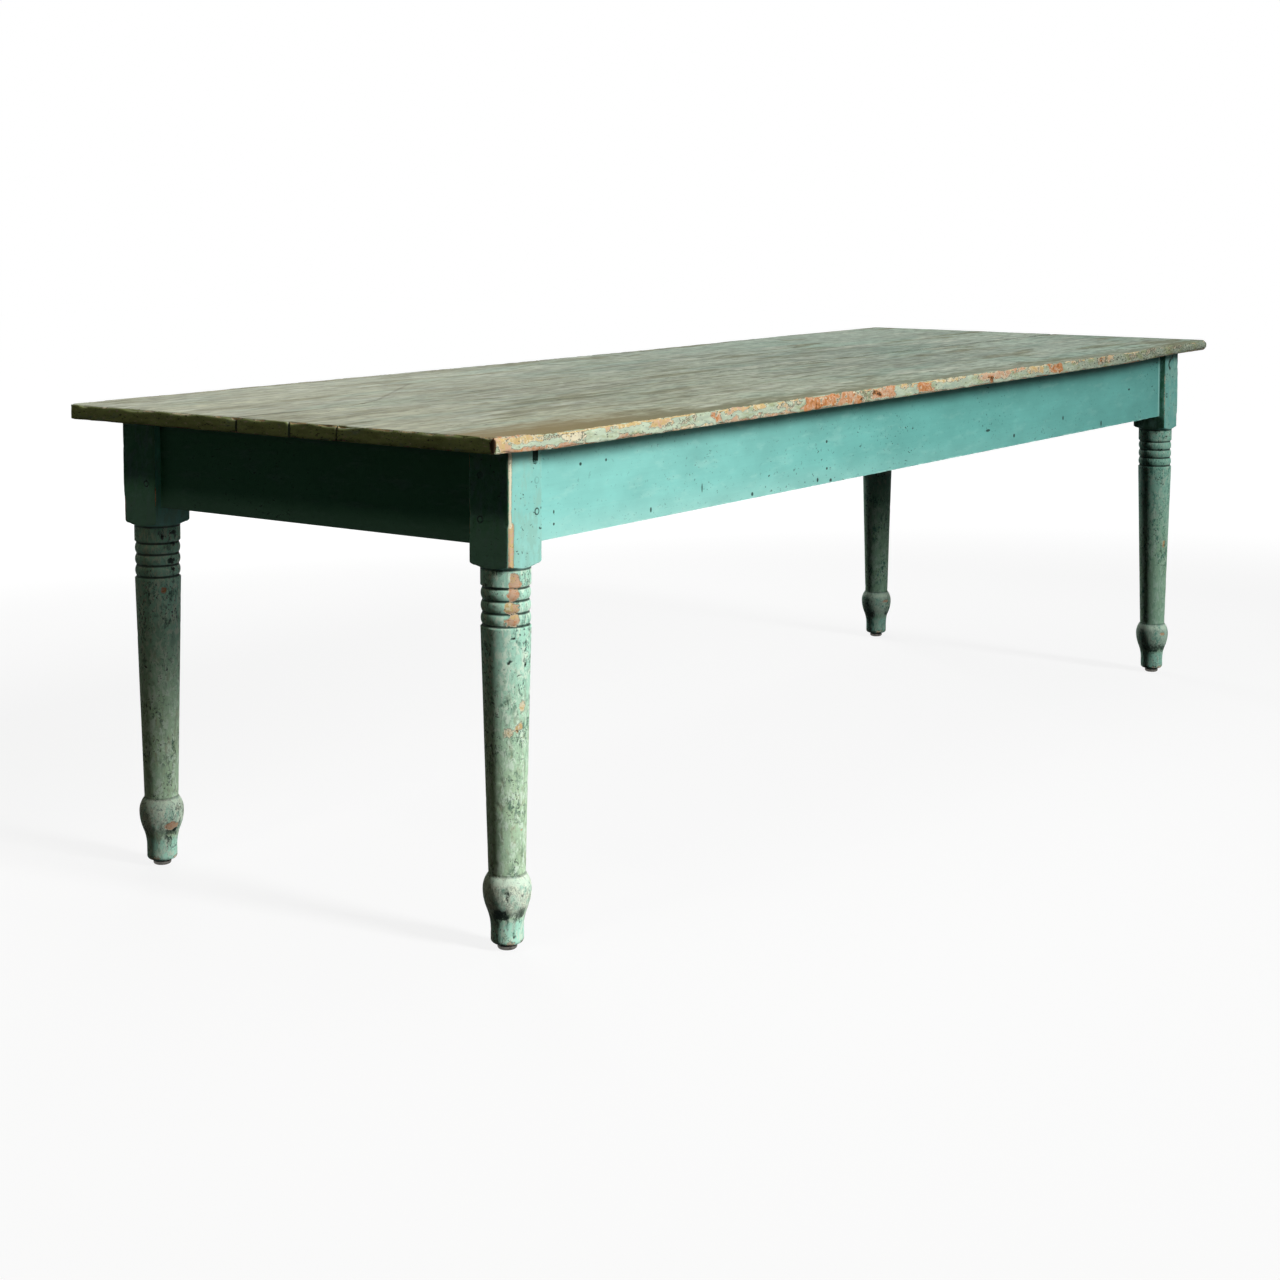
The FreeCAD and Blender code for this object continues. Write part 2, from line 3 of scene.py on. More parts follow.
import bpy
import numpy as np
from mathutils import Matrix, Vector


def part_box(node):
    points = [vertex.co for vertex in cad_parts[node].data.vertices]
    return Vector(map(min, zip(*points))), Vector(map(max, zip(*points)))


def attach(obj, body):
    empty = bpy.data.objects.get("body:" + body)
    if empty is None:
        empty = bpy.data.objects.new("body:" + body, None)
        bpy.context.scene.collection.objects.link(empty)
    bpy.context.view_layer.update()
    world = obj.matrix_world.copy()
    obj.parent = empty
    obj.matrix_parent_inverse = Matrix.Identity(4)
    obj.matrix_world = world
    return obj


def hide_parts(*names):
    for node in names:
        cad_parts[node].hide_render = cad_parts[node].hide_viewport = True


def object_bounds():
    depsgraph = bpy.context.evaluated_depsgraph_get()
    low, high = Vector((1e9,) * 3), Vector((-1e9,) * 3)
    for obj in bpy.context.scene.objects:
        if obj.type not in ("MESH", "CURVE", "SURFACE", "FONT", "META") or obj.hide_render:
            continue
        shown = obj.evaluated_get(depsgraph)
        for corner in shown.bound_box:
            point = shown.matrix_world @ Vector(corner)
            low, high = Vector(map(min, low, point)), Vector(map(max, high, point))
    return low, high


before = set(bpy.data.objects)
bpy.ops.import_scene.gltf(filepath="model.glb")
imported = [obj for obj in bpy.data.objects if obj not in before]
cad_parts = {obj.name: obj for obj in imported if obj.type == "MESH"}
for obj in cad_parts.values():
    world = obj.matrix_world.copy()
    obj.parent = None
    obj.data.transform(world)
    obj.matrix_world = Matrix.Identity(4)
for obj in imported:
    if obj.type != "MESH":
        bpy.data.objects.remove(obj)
cad_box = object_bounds()

MM = 0.001
SEED = 41
WHITE = (1.0, 1.0, 1.0)
TOP_BOARDS = ("back", "middle", "front")
CORNERS = ("front_left", "front_right", "back_right", "back_left")
SIDES = ("front", "right", "back", "left")
BRACES = ("left", "middle", "right")
JOINTS = ("back_joint", "front_joint")

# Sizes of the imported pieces, in metres
TABLE_LOW, TABLE_HIGH = cad_box
HALF_LENGTH = TABLE_HIGH.x
HALF_WIDTH = TABLE_HIGH.y
FRONT_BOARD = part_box("top_board_front")
SEAMS = (FRONT_BOARD[1].y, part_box("top_board_back")[0].y)
BLOCK_TOP = FRONT_BOARD[0].z
NEAR_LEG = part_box("leg_front_left")
BLOCK_HALF = (NEAR_LEG[1].x - NEAR_LEG[0].x) / 2
APRON_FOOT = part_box("apron_front")[0].z
LEG_INNER_X = -NEAR_LEG[1].x
LEG_INNER_Y = -NEAR_LEG[1].y
LEG_OUTER_X = HALF_LENGTH - 80 * MM
LEG_OUTER_Y = HALF_WIDTH - 40 * MM

# Heights and sizes on the legs, in metres: the turned profile, the pegs and the slot
SHOULDER = 562 * MM
NECK_LINE = SHOULDER - 1 * MM
GROOVES = (533.5 * MM, 515.2 * MM, 496.9 * MM, 478.6 * MM)
BULB_CROWN = 113 * MM
ANKLE = 44 * MM
LONG_PEGS = (1157 * MM, (641 * MM, 686 * MM))
END_PEGS = (346 * MM, (632 * MM, 696 * MM))
PEG_RADIUS = 4.5 * MM
PEG_RING_STRENGTHS = (1.0, 0.2)
NAIL_HOLE = 16 * MM
SLOT_SIDES = (-1166 * MM, -1154 * MM)
SLOT_FOOT = 710 * MM
SLOT_DEPTH = 12 * MM

# Radii of the top's worn plan corners, left and right, at the back and then at the front
PLAN_CORNERS = np.array(((16, 22), (6, 12))) * MM
# How far the ends of each board stand back
END_STEPS = {"back": 0.3 * MM, "middle": 0.0, "front": 0.8 * MM}

# How far the front edge of the top hangs between its corners, how far in from the edge it does
# so above and below, and how far the back half of the top sags
DROOP = 4.0 * MM
DROOP_REACH = 95 * MM
FOOT_DROOP_REACH = 38 * MM
SAG = 2.6 * MM

# Seeded noise: a block of random values, and how far apart its seeds and octaves are taken
LATTICE = np.random.default_rng(SEED).random((64, 64, 64))
SEED_STEP = 7.31
OCTAVE_STEP = 3.7

# Stands for a colour in a list of coats where the coat only darkens or lightens what is under it
SHADE = "shade"


def cloud(points, size, seed=0, octaves=1):
    """Smooth seeded noise from 0 to 1, with lumps of the given size in metres."""
    total = np.zeros(len(points))
    weight = 0.0
    for octave in range(octaves):
        place = points / np.asarray(size) * 2 ** octave + seed * SEED_STEP + octave * OCTAVE_STEP
        cell = np.floor(place).astype(int)
        part = place - cell
        part = part * part * (3 - 2 * part)
        value = np.zeros(len(points))
        for corner in np.ndindex(2, 2, 2):
            at = (cell + corner) % len(LATTICE)
            share = np.prod(np.where(corner, part, 1 - part), axis=1)
            value += share * LATTICE[at[:, 0], at[:, 1], at[:, 2]]
        total += value * 0.5 ** octave
        weight += 0.5 ** octave
    return total / weight


def step(values, low, high):
    """Zero below low, one above high and smooth between; low may be the larger."""
    part = np.clip((values - low) / (high - low), 0, 1)
    return part * part * (3 - 2 * part)


def between(values, low, high, fade):
    """One from low to high and zero outside, with soft ends."""
    return step(values, low - fade, low + fade) * step(values, high + fade, high - fade)


def put(name, data):
    """A new object of the scene that shows the given mesh, lamp or camera."""
    thing = bpy.data.objects.new(name, data)
    bpy.context.scene.collection.objects.link(thing)
    return thing


def make_piece(stands_for, points, faces, marks, slot):
    """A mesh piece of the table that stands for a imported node."""
    name = f"{stands_for}_worn"
    mesh = bpy.data.meshes.new(name)
    mesh.from_pydata(points.tolist(), [], faces)
    mesh.polygons.foreach_set("use_smooth", np.ones(len(mesh.polygons), bool))
    for label, values in marks.items():
        attribute = mesh.attributes.new(label, "FLOAT", "POINT")
        attribute.data.foreach_set("value", values.astype(np.float32))
    mesh.update()
    mesh.materials.append(FINISHES[slot])
    piece = put(name, mesh)
    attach(piece, "root")
    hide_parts(stands_for)


class Field:
    """A number that varies over a surface, written with ordinary signs."""

    def __init__(self, finish, socket):
        self.finish = finish
        self.socket = socket

    def maths(self, operation, first, second):
        return self.finish.node("ShaderNodeMath", {"operation": operation}, {0: first, 1: second})

    def __add__(self, other):
        return self.maths("ADD", self, other)

    def __sub__(self, other):
        return self.maths("SUBTRACT", self, other)

    def __mul__(self, other):
        return self.maths("MULTIPLY", self, other)

    def __truediv__(self, other):
        return self.maths("DIVIDE", self, other)

    def __radd__(self, other):
        return self.maths("ADD", other, self)

    def __rsub__(self, other):
        return self.maths("SUBTRACT", other, self)

    def __rmul__(self, other):
        return self.maths("MULTIPLY", other, self)

    def __abs__(self):
        return self.maths("ABSOLUTE", self, 0.0)

    def root(self):
        return self.maths("SQRT", self, 0.0)

    def higher(self, other):
        return self.maths("MAXIMUM", self, other)

    def step(self, low, high):
        """Zero below low, one above high and smooth between; low may be the larger."""
        turned = low > high
        ends = {"From Min": min(low, high), "From Max": max(low, high),
                "To Min": float(turned), "To Max": float(not turned), "Value": self}
        return self.finish.node("ShaderNodeMapRange", {"interpolation_type": "SMOOTHSTEP"}, ends)


def strongest(fields):
    """The highest of several fields at each place."""
    top = fields[0]
    for field in fields[1:]:
        top = top.higher(field)
    return top


def new_finish(name):
    return Finish(bpy.data.materials.new(name))


class Finish:
    """The nodes of one material or world, built one by one."""

    def __init__(self, owner):
        owner.use_nodes = True
        self.owner = owner
        self.tree = owner.node_tree
        self.tree.nodes.clear()
        self.place = self.node("ShaderNodeTexCoord", {}, {}, "Object")

    def node(self, kind, settings, values, out=0):
        made = self.tree.nodes.new(kind)
        for setting, value in settings.items():
            setattr(made, setting, value)
        for key, value in values.items():
            socket = made.inputs[key]
            if isinstance(value, Field):
                self.tree.links.new(value.socket, socket)
            elif socket.type == "RGBA":
                socket.default_value = (*value, 1.0)
            else:
                socket.default_value = value
        return Field(self, made.outputs[out]) if len(made.outputs) else None

    def parts(self, vector):
        """The three numbers of a vector, each a field of its own."""
        split = self.node("ShaderNodeSeparateXYZ", {}, {0: vector})
        return [Field(self, socket) for socket in split.socket.node.outputs]

    def axes(self):
        """Where the surface is: along, across and up the table, in metres."""
        return self.parts(self.place)

    def mark(self, label):
        settings = {"attribute_name": label, "attribute_type": "GEOMETRY"}
        return self.node("ShaderNodeAttribute", settings, {}, "Fac")

    def facing(self):
        """The way the surface faces, along, across and up."""
        return self.parts(self.node("ShaderNodeNewGeometry", {}, {}, "Normal"))

    def noise(self, size, detail=2.0, rough=0.5, shift=0.0, warp=0.0):
        """Noise from 0 to 1, centred on a half, with lumps of the given size in metres."""
        sizes = size if isinstance(size, tuple) else (size, size, size)
        scale = tuple(1.0 / length for length in sizes)
        settings = {"operation": "MULTIPLY_ADD"}
        place = self.node("ShaderNodeVectorMath", settings, {0: self.place, 1: scale, 2: (shift,) * 3})
        values = {"Vector": place, "Scale": 1.0, "Detail": detail, "Roughness": rough, "Distortion": warp}
        return self.node("ShaderNodeTexNoise", {}, values)

    def blend(self, under, over, amount):
        """A colour between two others, by an amount from 0 to 1."""
        settings = {"data_type": "RGBA", "clamp_factor": True}
        return self.node("ShaderNodeMix", settings, {0: amount, 6: under, 7: over}, 2)

    def shade(self, colour, amount):
        """A colour made darker or lighter by an amount round one."""
        grey = self.node("ShaderNodeCombineXYZ", {}, {0: amount, 1: amount, 2: amount})
        settings = {"data_type": "RGBA", "blend_type": "MULTIPLY"}
        return self.node("ShaderNodeMix", settings, {0: 1.0, 6: colour, 7: grey}, 2)

    def coats(self, colour, layers):
        """A colour with others laid over it in turn, each by its own amount."""
        for over, amount in layers:
            colour = self.shade(colour, amount) if over is SHADE else self.blend(colour, over, amount)
        return colour

    def bands(self, value, stops):
        """A colour that runs through the given stops as the value goes from 0 to 1."""
        colour = stops[0][1]
        for (low, _), (high, over) in zip(stops, stops[1:]):
            colour = self.blend(colour, over, value.step(low, high))
        return colour

    def seen(self):
        """One where the camera, a mirror or a glass looks, and nothing where only light goes."""
        looks = [self.node("ShaderNodeLightPath", {}, {}, ray)
                 for ray in ("Is Camera Ray", "Is Glossy Ray", "Is Transmission Ray")]
        return strongest(looks)

    def surface(self, colour, rough, height, depth, metallic=0.0, specular=0.3):
        bump = self.node("ShaderNodeBump", {}, {"Strength": 1.0, "Distance": depth, "Height": height})
        values = {"Base Color": colour, "Roughness": rough, "Metallic": metallic,
                  "Specular IOR Level": specular, "Normal": bump}
        shader = self.node("ShaderNodeBsdfPrincipled", {}, values)
        self.node("ShaderNodeOutputMaterial", {}, {"Surface": shader})
        return self.owner


# Colours of the paints, the wood and the fittings, as linear red, green and blue
MINT = (0.268, 0.64, 0.575)
# Darker mint for the frame towards the far right end: painted shade of the light falling off along the table
MINT_SHADED_FAR = (0.156, 0.47, 0.42)
MINT_PALE = (0.45, 0.78, 0.69)
# Dark green for faces turned to the left end: painted shade of the unlit end
MINT_SHADED_END = (0.11, 0.4, 0.17)
MINT_GREY = (0.3, 0.56, 0.47)
LEG_MINT = (0.45, 0.77, 0.61)
LEG_OLIVE = (0.54, 0.7, 0.44)
LEG_PALE = (0.72, 0.88, 0.71)
# Deep green laid over the legs towards the far right end: painted shade of the light falling off
LEG_SHADED_FAR = (0.01, 0.26, 0.2)
FOOT_MINT = (0.52, 0.93, 0.76)
BULB_PALE = (0.86, 0.96, 0.78)
LEG_DARK = (0.085, 0.18, 0.13)
LEG_GRIME = (0.13, 0.14, 0.07)
LEG_CLAY = (0.4, 0.33, 0.2)
# Near-black for nicks, specks and dark joints, also laid as painted shade under the top, beside the blocks,
# in the slot and in the open peg hole
NICK_AND_SHADE = (0.014, 0.026, 0.02)
CREAM = (0.78, 0.72, 0.52)
OLD_YELLOW = (0.62, 0.46, 0.2)
TAN = (0.62, 0.42, 0.29)
ORANGE = (0.58, 0.245, 0.09)
UMBER = (0.075, 0.045, 0.028)
MOSS = (0.3, 0.33, 0.12)
TOP_LEFT = (0.405, 0.42, 0.305)
TOP_RIGHT = (0.37, 0.44, 0.365)
TOP_PALE = (0.52, 0.56, 0.46)
TOP_MINT = (0.31, 0.42, 0.34)
TOP_BROWN = (0.18, 0.18, 0.1)
TOP_LINE = (0.1, 0.095, 0.055)
TOP_WARM = (0.24, 0.19, 0.085)
TOP_FLECK = (0.06, 0.055, 0.036)
EDGE_SAGE = (0.45, 0.53, 0.4)
END_OLIVE = (0.4, 0.47, 0.19)
RAW_PINE = (0.43, 0.27, 0.145)
RAW_DARK = (0.21, 0.115, 0.055)
NICKEL = (0.15, 0.145, 0.13)
NICKEL_STAIN = (0.035, 0.03, 0.024)
STEEL = (0.34, 0.33, 0.32)
STEEL_RUST = (0.16, 0.09, 0.05)
RUBBER = (0.018, 0.018, 0.017)
RUBBER_DUST = (0.09, 0.082, 0.068)

# Scratches over the top: both ends and half width in millimetres, and strength
SCRATCHES = (
    ((-1283, 60), (-1068, 46), 4.0, 0.9), ((-1068, 46), (-982, 74), 2.6, 0.95),
    ((-982, 74), (-956, 85), 2.6, 0.8), ((-956, 85), (-678, 260), 3.2, 0.6),
    ((-830, 140), (-659, 118), 3.5, 0.7), ((-928, -2), (-448, 42), 3.5, 0.75),
    ((-577, 2), (-404, -19), 5.0, 0.6), ((-628, -101), (-410, -50), 5.0, 0.5),
    ((-950, -160), (-540, -161), 6.0, 0.45), ((-1250, -250), (-760, -215), 5.0, 0.3),
    ((-300, 190), (240, 236), 6.0, 0.4), ((-120, -190), (420, -150), 6.0, 0.35),
    ((350, 90), (820, 60), 8.0, 0.4),
)
SCRATCH_FADE = 20
# Scars on the front apron: along, height, half width and half height, in millimetres
SCARS = (
    (-714, 627, 1.6, 7.0), (-1037, 697, 3.0, 2.4), (-973, 697, 2.4, 2.2), (-1102, 633, 1.8, 2.6),
    (-1102, 615, 2.0, 2.0), (-856, 608, 2.2, 4.0), (-565, 601, 3.4, 3.2), (-356, 603, 3.0, 3.6),
    (-312, 598, 4.0, 3.2), (-325, 620, 3.0, 2.2), (-326, 667, 3.2, 2.6), (971, 667, 5.0, 2.2),
    (290, 634, 9.0, 2.4), (633, 631, 3.0, 4.2), (825, 604, 3.2, 6.0), (405, 614, 4.0, 3.6),
)
# The hook-shaped scar on the right leg's block: places along the face and up it, half width
# of the stroke and how softly it ends, in millimetres
HOOK_SCAR = ((1189, 728), (1177, 723), (1166, 714), (1166, 706), (1175, 699))
HOOK_HALF_WIDTH = 3.6
HOOK_FADE = 1.0


def worn(finish, paint, fine, rim):
    """Lays bare wood over a paint where it is lost, with a rim of pale primer and a dark outline of painted
    shade.
    """
    coarse = finish.noise(0.011, 3.0, 0.6, shift=31.0)
    ragged = finish.mark("loss") + (fine - 0.5) * 0.7 + (coarse - 0.5) * 0.5
    # A dark outline round each loss: painted shade at the broken edge of the thick paint
    outline = ragged.step(0.32, 0.39)
    primer = ragged.step(0.4, 0.45)
    bare = ragged.step(0.47, 0.54)
    stops = ((0.0, CREAM), (0.25, OLD_YELLOW), (0.5, TAN), (0.75, ORANGE), (1.0, UMBER))
    shown = finish.mark("tone") + (finish.noise(0.0065, 4.0, 0.7, shift=5.0) - 0.5) * 1.2
    pit = finish.noise(0.0034, 2.0, 0.6, shift=41.0).step(0.63, 0.7) * outline
    colour = finish.coats(paint, (
        (UMBER, outline * rim),
        (CREAM, primer * 0.85),
        (finish.bands(shown, stops), bare),
        (UMBER, pit * 0.8),
    ))
    return colour, primer, bare


def spot(x, z, place):
    """One small oval mark on an upright face, from 0 outside to 1 in its middle."""
    along = (x - place[0] * MM) / (place[2] * MM)
    rise = (z - place[1] * MM) / (place[3] * MM)
    return (along * along + rise * rise).step(1.6, 0.5)


def stroke(first, second, start, stop, half_width, fade):
    """A straight stroke on a flat face, from 0 beside it to 1 along it, with ends that fade."""
    length = math.dist(start, stop)
    way = ((stop[0] - start[0]) / length, (stop[1] - start[1]) / length)
    along = first * way[0] + second * way[1] - (start[0] * way[0] + start[1] * way[1]) * MM
    across = second * way[0] - first * way[1] - (start[1] * way[0] - start[0] * way[1]) * MM
    ends = along.step(-fade * MM, fade * MM) * along.step((length + fade) * MM, (length - fade) * MM)
    return abs(across).step(half_width * 1.5 * MM, half_width * 0.4 * MM) * ends


def distance_to(first, second, place):
    """How far the points of a flat face are from one place on it, in metres."""
    across = first - place[0]
    rise = second - place[1]
    return (across * across + rise * rise).root()


def top_paint():
    """Thin grey-green paint, rubbed along the grain of the boards."""
    finish = new_finish("worn_top_paint")
    noise = finish.noise
    x, y, _ = finish.axes()
    facing_x, _, facing_z = finish.facing()
    fine = noise(0.0042, 3.0, 0.6)
    streak = noise((0.26, 0.055, 0.1), 4.0, 0.62)
    line = noise((0.2, 0.009, 0.1), 3.0, 0.65, shift=3.0)
    grain = noise((0.06, 0.0026, 0.01), 2.0, 0.6, shift=13.0)
    patch = noise((0.5, 0.13, 0.2), 3.0, 0.55, shift=9.0)
    fleck = noise((0.036, 0.0075, 0.02), 3.0, 0.6, shift=1.7, warp=0.3)
    scuff = noise((0.19, 0.045, 0.1), 4.0, 0.65, shift=6.1)
    dapple = noise((0.045, 0.014, 0.02), 3.0, 0.6, shift=19.0)
    minty = noise((0.3, 0.075, 0.1), 2.0, 0.6, shift=16.0)
    rubbed = noise((0.16, 0.02, 0.02), 3.0, 0.6, shift=23.0)
    middle = x.step(-1.15, -0.8) * x.step(0.95, 0.55) * abs(y + 0.03).step(0.34, 0.16)
    rim_edge = y + (rubbed - 0.5) * 0.11 + (dapple - 0.5) * 0.06
    rim = rim_edge.step(-HALF_WIDTH + 62 * MM, -HALF_WIDTH + 18 * MM)
    corner = x.step(-0.7, -1.2) * rim_edge.step(-HALF_WIDTH + 125 * MM, -HALF_WIDTH + 40 * MM)
    colour = finish.coats(TOP_LEFT, (
        (TOP_RIGHT, x.step(-HALF_LENGTH, HALF_LENGTH * 0.6)),
        (TOP_MINT, minty.step(0.48, 0.64) * (0.35 + x.step(-0.6, 0.6) * 0.35)),
        (SHADE, 0.5 + patch * 0.9 + x.step(0.3, 1.2) * 0.12),
        (TOP_PALE, scuff.step(0.52, 0.66) * 0.72),
        (TOP_BROWN, streak.step(0.51, 0.67) * 0.67),
        (SHADE, 1 - middle * 0.12),
        (TOP_BROWN, line.step(0.55, 0.68) * (0.42 + middle * 0.25)),
        (SHADE, 0.7 + grain * 0.26 + dapple.step(0.4, 0.6) * 0.36),
        (TOP_FLECK, fleck.step(0.61, 0.7) * patch.step(0.4, 0.6) * 0.7),
        (TOP_BROWN, rim * (0.45 + x.step(0.2, -1.1) * 0.45)),
        (TOP_WARM, corner),
    ))
    for seam in SEAMS:
        # Dark along the seams between the boards: dirt, with painted shade in the joints
        dirt_and_shade = abs(y - seam).step(4.5 * MM, 1.0 * MM) * x.step(0.5, -0.5)
        colour = finish.blend(colour, TOP_FLECK, dirt_and_shade * (0.1 + streak.step(0.42, 0.62) * 0.7))
    for start, stop, half_width, strength in SCRATCHES:
        scratch = stroke(x, y, start, stop, half_width, SCRATCH_FADE)
        colour = finish.blend(colour, TOP_LINE, scratch * (0.2 + line) * strength)
    clouded = noise((0.05, 0.05, 0.01), 3.0, 0.6, shift=2.0)
    pitted = noise((0.009, 0.009, 0.0035), 3.0, 0.6, shift=8.0)
    mossy = noise((0.05, 0.05, 0.016), 3.0, 0.6, shift=12.0)
    edge = finish.coats(EDGE_SAGE, (
        (END_OLIVE, abs(facing_x).step(0.5, 0.8)),
        (SHADE, 0.62 + clouded * 0.9 + x.step(-0.6, -1.1) * 0.12 - x.step(0.1, 1.1) * 0.36),
        (MOSS, mossy.step(0.5, 0.66) * 0.55),
        (TOP_MINT, mossy.step(0.44, 0.3) * 0.6),
        (TOP_FLECK, (pitted + x.step(0.4, 1.0) * 0.06).step(0.61, 0.68) * 0.8),
        (CREAM, pitted.step(0.4, 0.33) * 0.7),
        *((NICK_AND_SHADE, abs(y - seam).step(3.2 * MM, 1.4 * MM) * 0.95) for seam in SEAMS),
    ))
    colour = finish.blend(edge, colour, facing_z.step(0.45, 0.8))
    # Dark in the open crack: painted shade in the gap, with dirt
    colour = finish.blend(colour, NICK_AND_SHADE, finish.mark("dirt_and_shade") * 0.9)
    colour, primer, bare = worn(finish, colour, fine, 0.8)
    under = finish.blend(RAW_PINE, RAW_DARK, noise((0.2, 0.004, 0.02), 3.0, shift=11.0))
    colour = finish.blend(colour, under, facing_z.step(-0.75, -0.92))
    rough = 0.66 + patch * 0.14 + bare * 0.1
    height = grain * 0.35 + line * 0.5 + streak * 0.6 + fine * 0.25 - primer * 0.5 - bare * 0.5
    return finish.surface(colour, rough, height, 0.6 * MM, specular=0.04)


def turned_paint(finish, x, z):
    """The grimy, many times painted finish of the turned legs, darkened as painted shade towards the far
    right end.
    """
    noise = finish.noise
    low = z.step(470 * MM, 230 * MM)
    # How far to the right a leg stands: the far legs get painted shade and less clay
    far = x.step(-0.4, 0.9)
    bulb = z.step(BULB_CROWN + 1 * MM, BULB_CROWN - 1 * MM) * z.step(ANKLE + 6 * MM, ANKLE + 24 * MM)
    ankle = z.step(ANKLE + 10 * MM, ANKLE - 2 * MM)
    blotch = noise((0.04, 0.04, 0.06), 2.0, 0.5, shift=14.0)
    mottle = noise((0.0095, 0.0095, 0.02), 5.0, 0.78, shift=1.0, warp=0.8)
    flake = noise((0.0085, 0.0085, 0.017), 5.0, 0.76, shift=6.0, warp=0.6)
    clay = noise((0.013, 0.013, 0.03), 3.0, 0.65, shift=17.0)
    speck = noise((0.0032, 0.0032, 0.0046), 2.0, 0.6, shift=24.0)
    upright = noise((0.007, 0.007, 0.1), 3.0, 0.65, shift=4.0)
    tint = noise((0.014, 0.014, 0.018), 4.0, 0.65, shift=37.0)
    veined = noise((0.013, 0.013, 0.017), 5.0, 0.75, shift=38.0, warp=1.2)
    vein = abs(veined - 0.5).step(0.04, 0.01)
    bulb_paint = finish.coats(BULB_PALE, (
        (LEG_MINT, tint.step(0.5, 0.6) * 0.85),
        (LEG_CLAY, tint.step(0.46, 0.37) * 0.25),
    ))
    muddy = 0.2 + low * 0.25 - bulb * 0.2
    dark = 0.26 + bulb * 0.1 + blotch.step(0.42, 0.6) * 0.6
    waist = abs(z - (ANKLE + 14 * MM) + (mottle - 0.5) * 0.06).step(9 * MM, 3 * MM)
    crown = abs(z - (BULB_CROWN - 7 * MM)).step(8 * MM, 1 * MM) * flake.step(0.36, 0.52)
    colour = finish.coats(LEG_MINT, (
        (LEG_OLIVE, low * (0.45 + blotch * 0.6)),
        (bulb_paint, bulb * 0.95),
        (FOOT_MINT, ankle * 0.85),
        (LEG_CLAY, clay.step(0.52, 0.68) * muddy * (1 - far * 0.75)),
        (LEG_DARK, mottle.step(0.49, 0.59) * dark),
        (LEG_GRIME, upright.step(0.54, 0.68) * (0.06 + low * 0.22) * (1 - bulb * 0.6)),
        (LEG_DARK, vein * bulb * 0.52),
        (LEG_PALE, flake.step(0.5, 0.58) * 0.85),
        # painted shade on the legs towards the far right end
        (LEG_SHADED_FAR, far * 0.34),
        (NICK_AND_SHADE, speck.step(0.6, 0.67) * blotch.step(0.4, 0.58) * 0.8),
        (NICK_AND_SHADE, waist * blotch.step(0.42, 0.54) * 0.8),
        (NICK_AND_SHADE, abs(z - BULB_CROWN).step(3.0 * MM, 0.8 * MM) * 0.45),
        (LEG_PALE, crown * 0.75),
        *((NICK_AND_SHADE, abs(z - line).step(2.6 * MM, 0.9 * MM) * 0.9) for line in (*GROOVES, NECK_LINE)),
    ))
    return colour, mottle


def peg_marks(x, y, z):
    """Thin dark rings round the pegs, and the one peg hole that stands open, painted dark as the shade inside
    it.
    """
    rings = []
    for (place, heights), along in ((LONG_PEGS, x), (END_PEGS, y)):
        for height, strength in zip(heights, PEG_RING_STRENGTHS):
            distance = distance_to(abs(along), z, (place, height))
            rings.append(abs(distance - PEG_RADIUS).step(1.6 * MM, 0.6 * MM) * strength)
    long_face = (abs(y) - LEG_OUTER_Y).step(-2 * MM, -1 * MM)
    end_face = (abs(x) - LEG_OUTER_X).step(-2 * MM, -1 * MM)
    # The open peg hole is painted dark: painted shade inside the hole
    open_peg = (-END_PEGS[0], END_PEGS[1][1])
    hole = distance_to(y, z, open_peg).step(PEG_RADIUS + 0.8 * MM, PEG_RADIUS - 0.6 * MM)
    hole = hole * x.step(-HALF_LENGTH + 100 * MM, -HALF_LENGTH + 90 * MM) * end_face
    return (strongest(rings) * long_face.higher(end_face)).higher(hole)


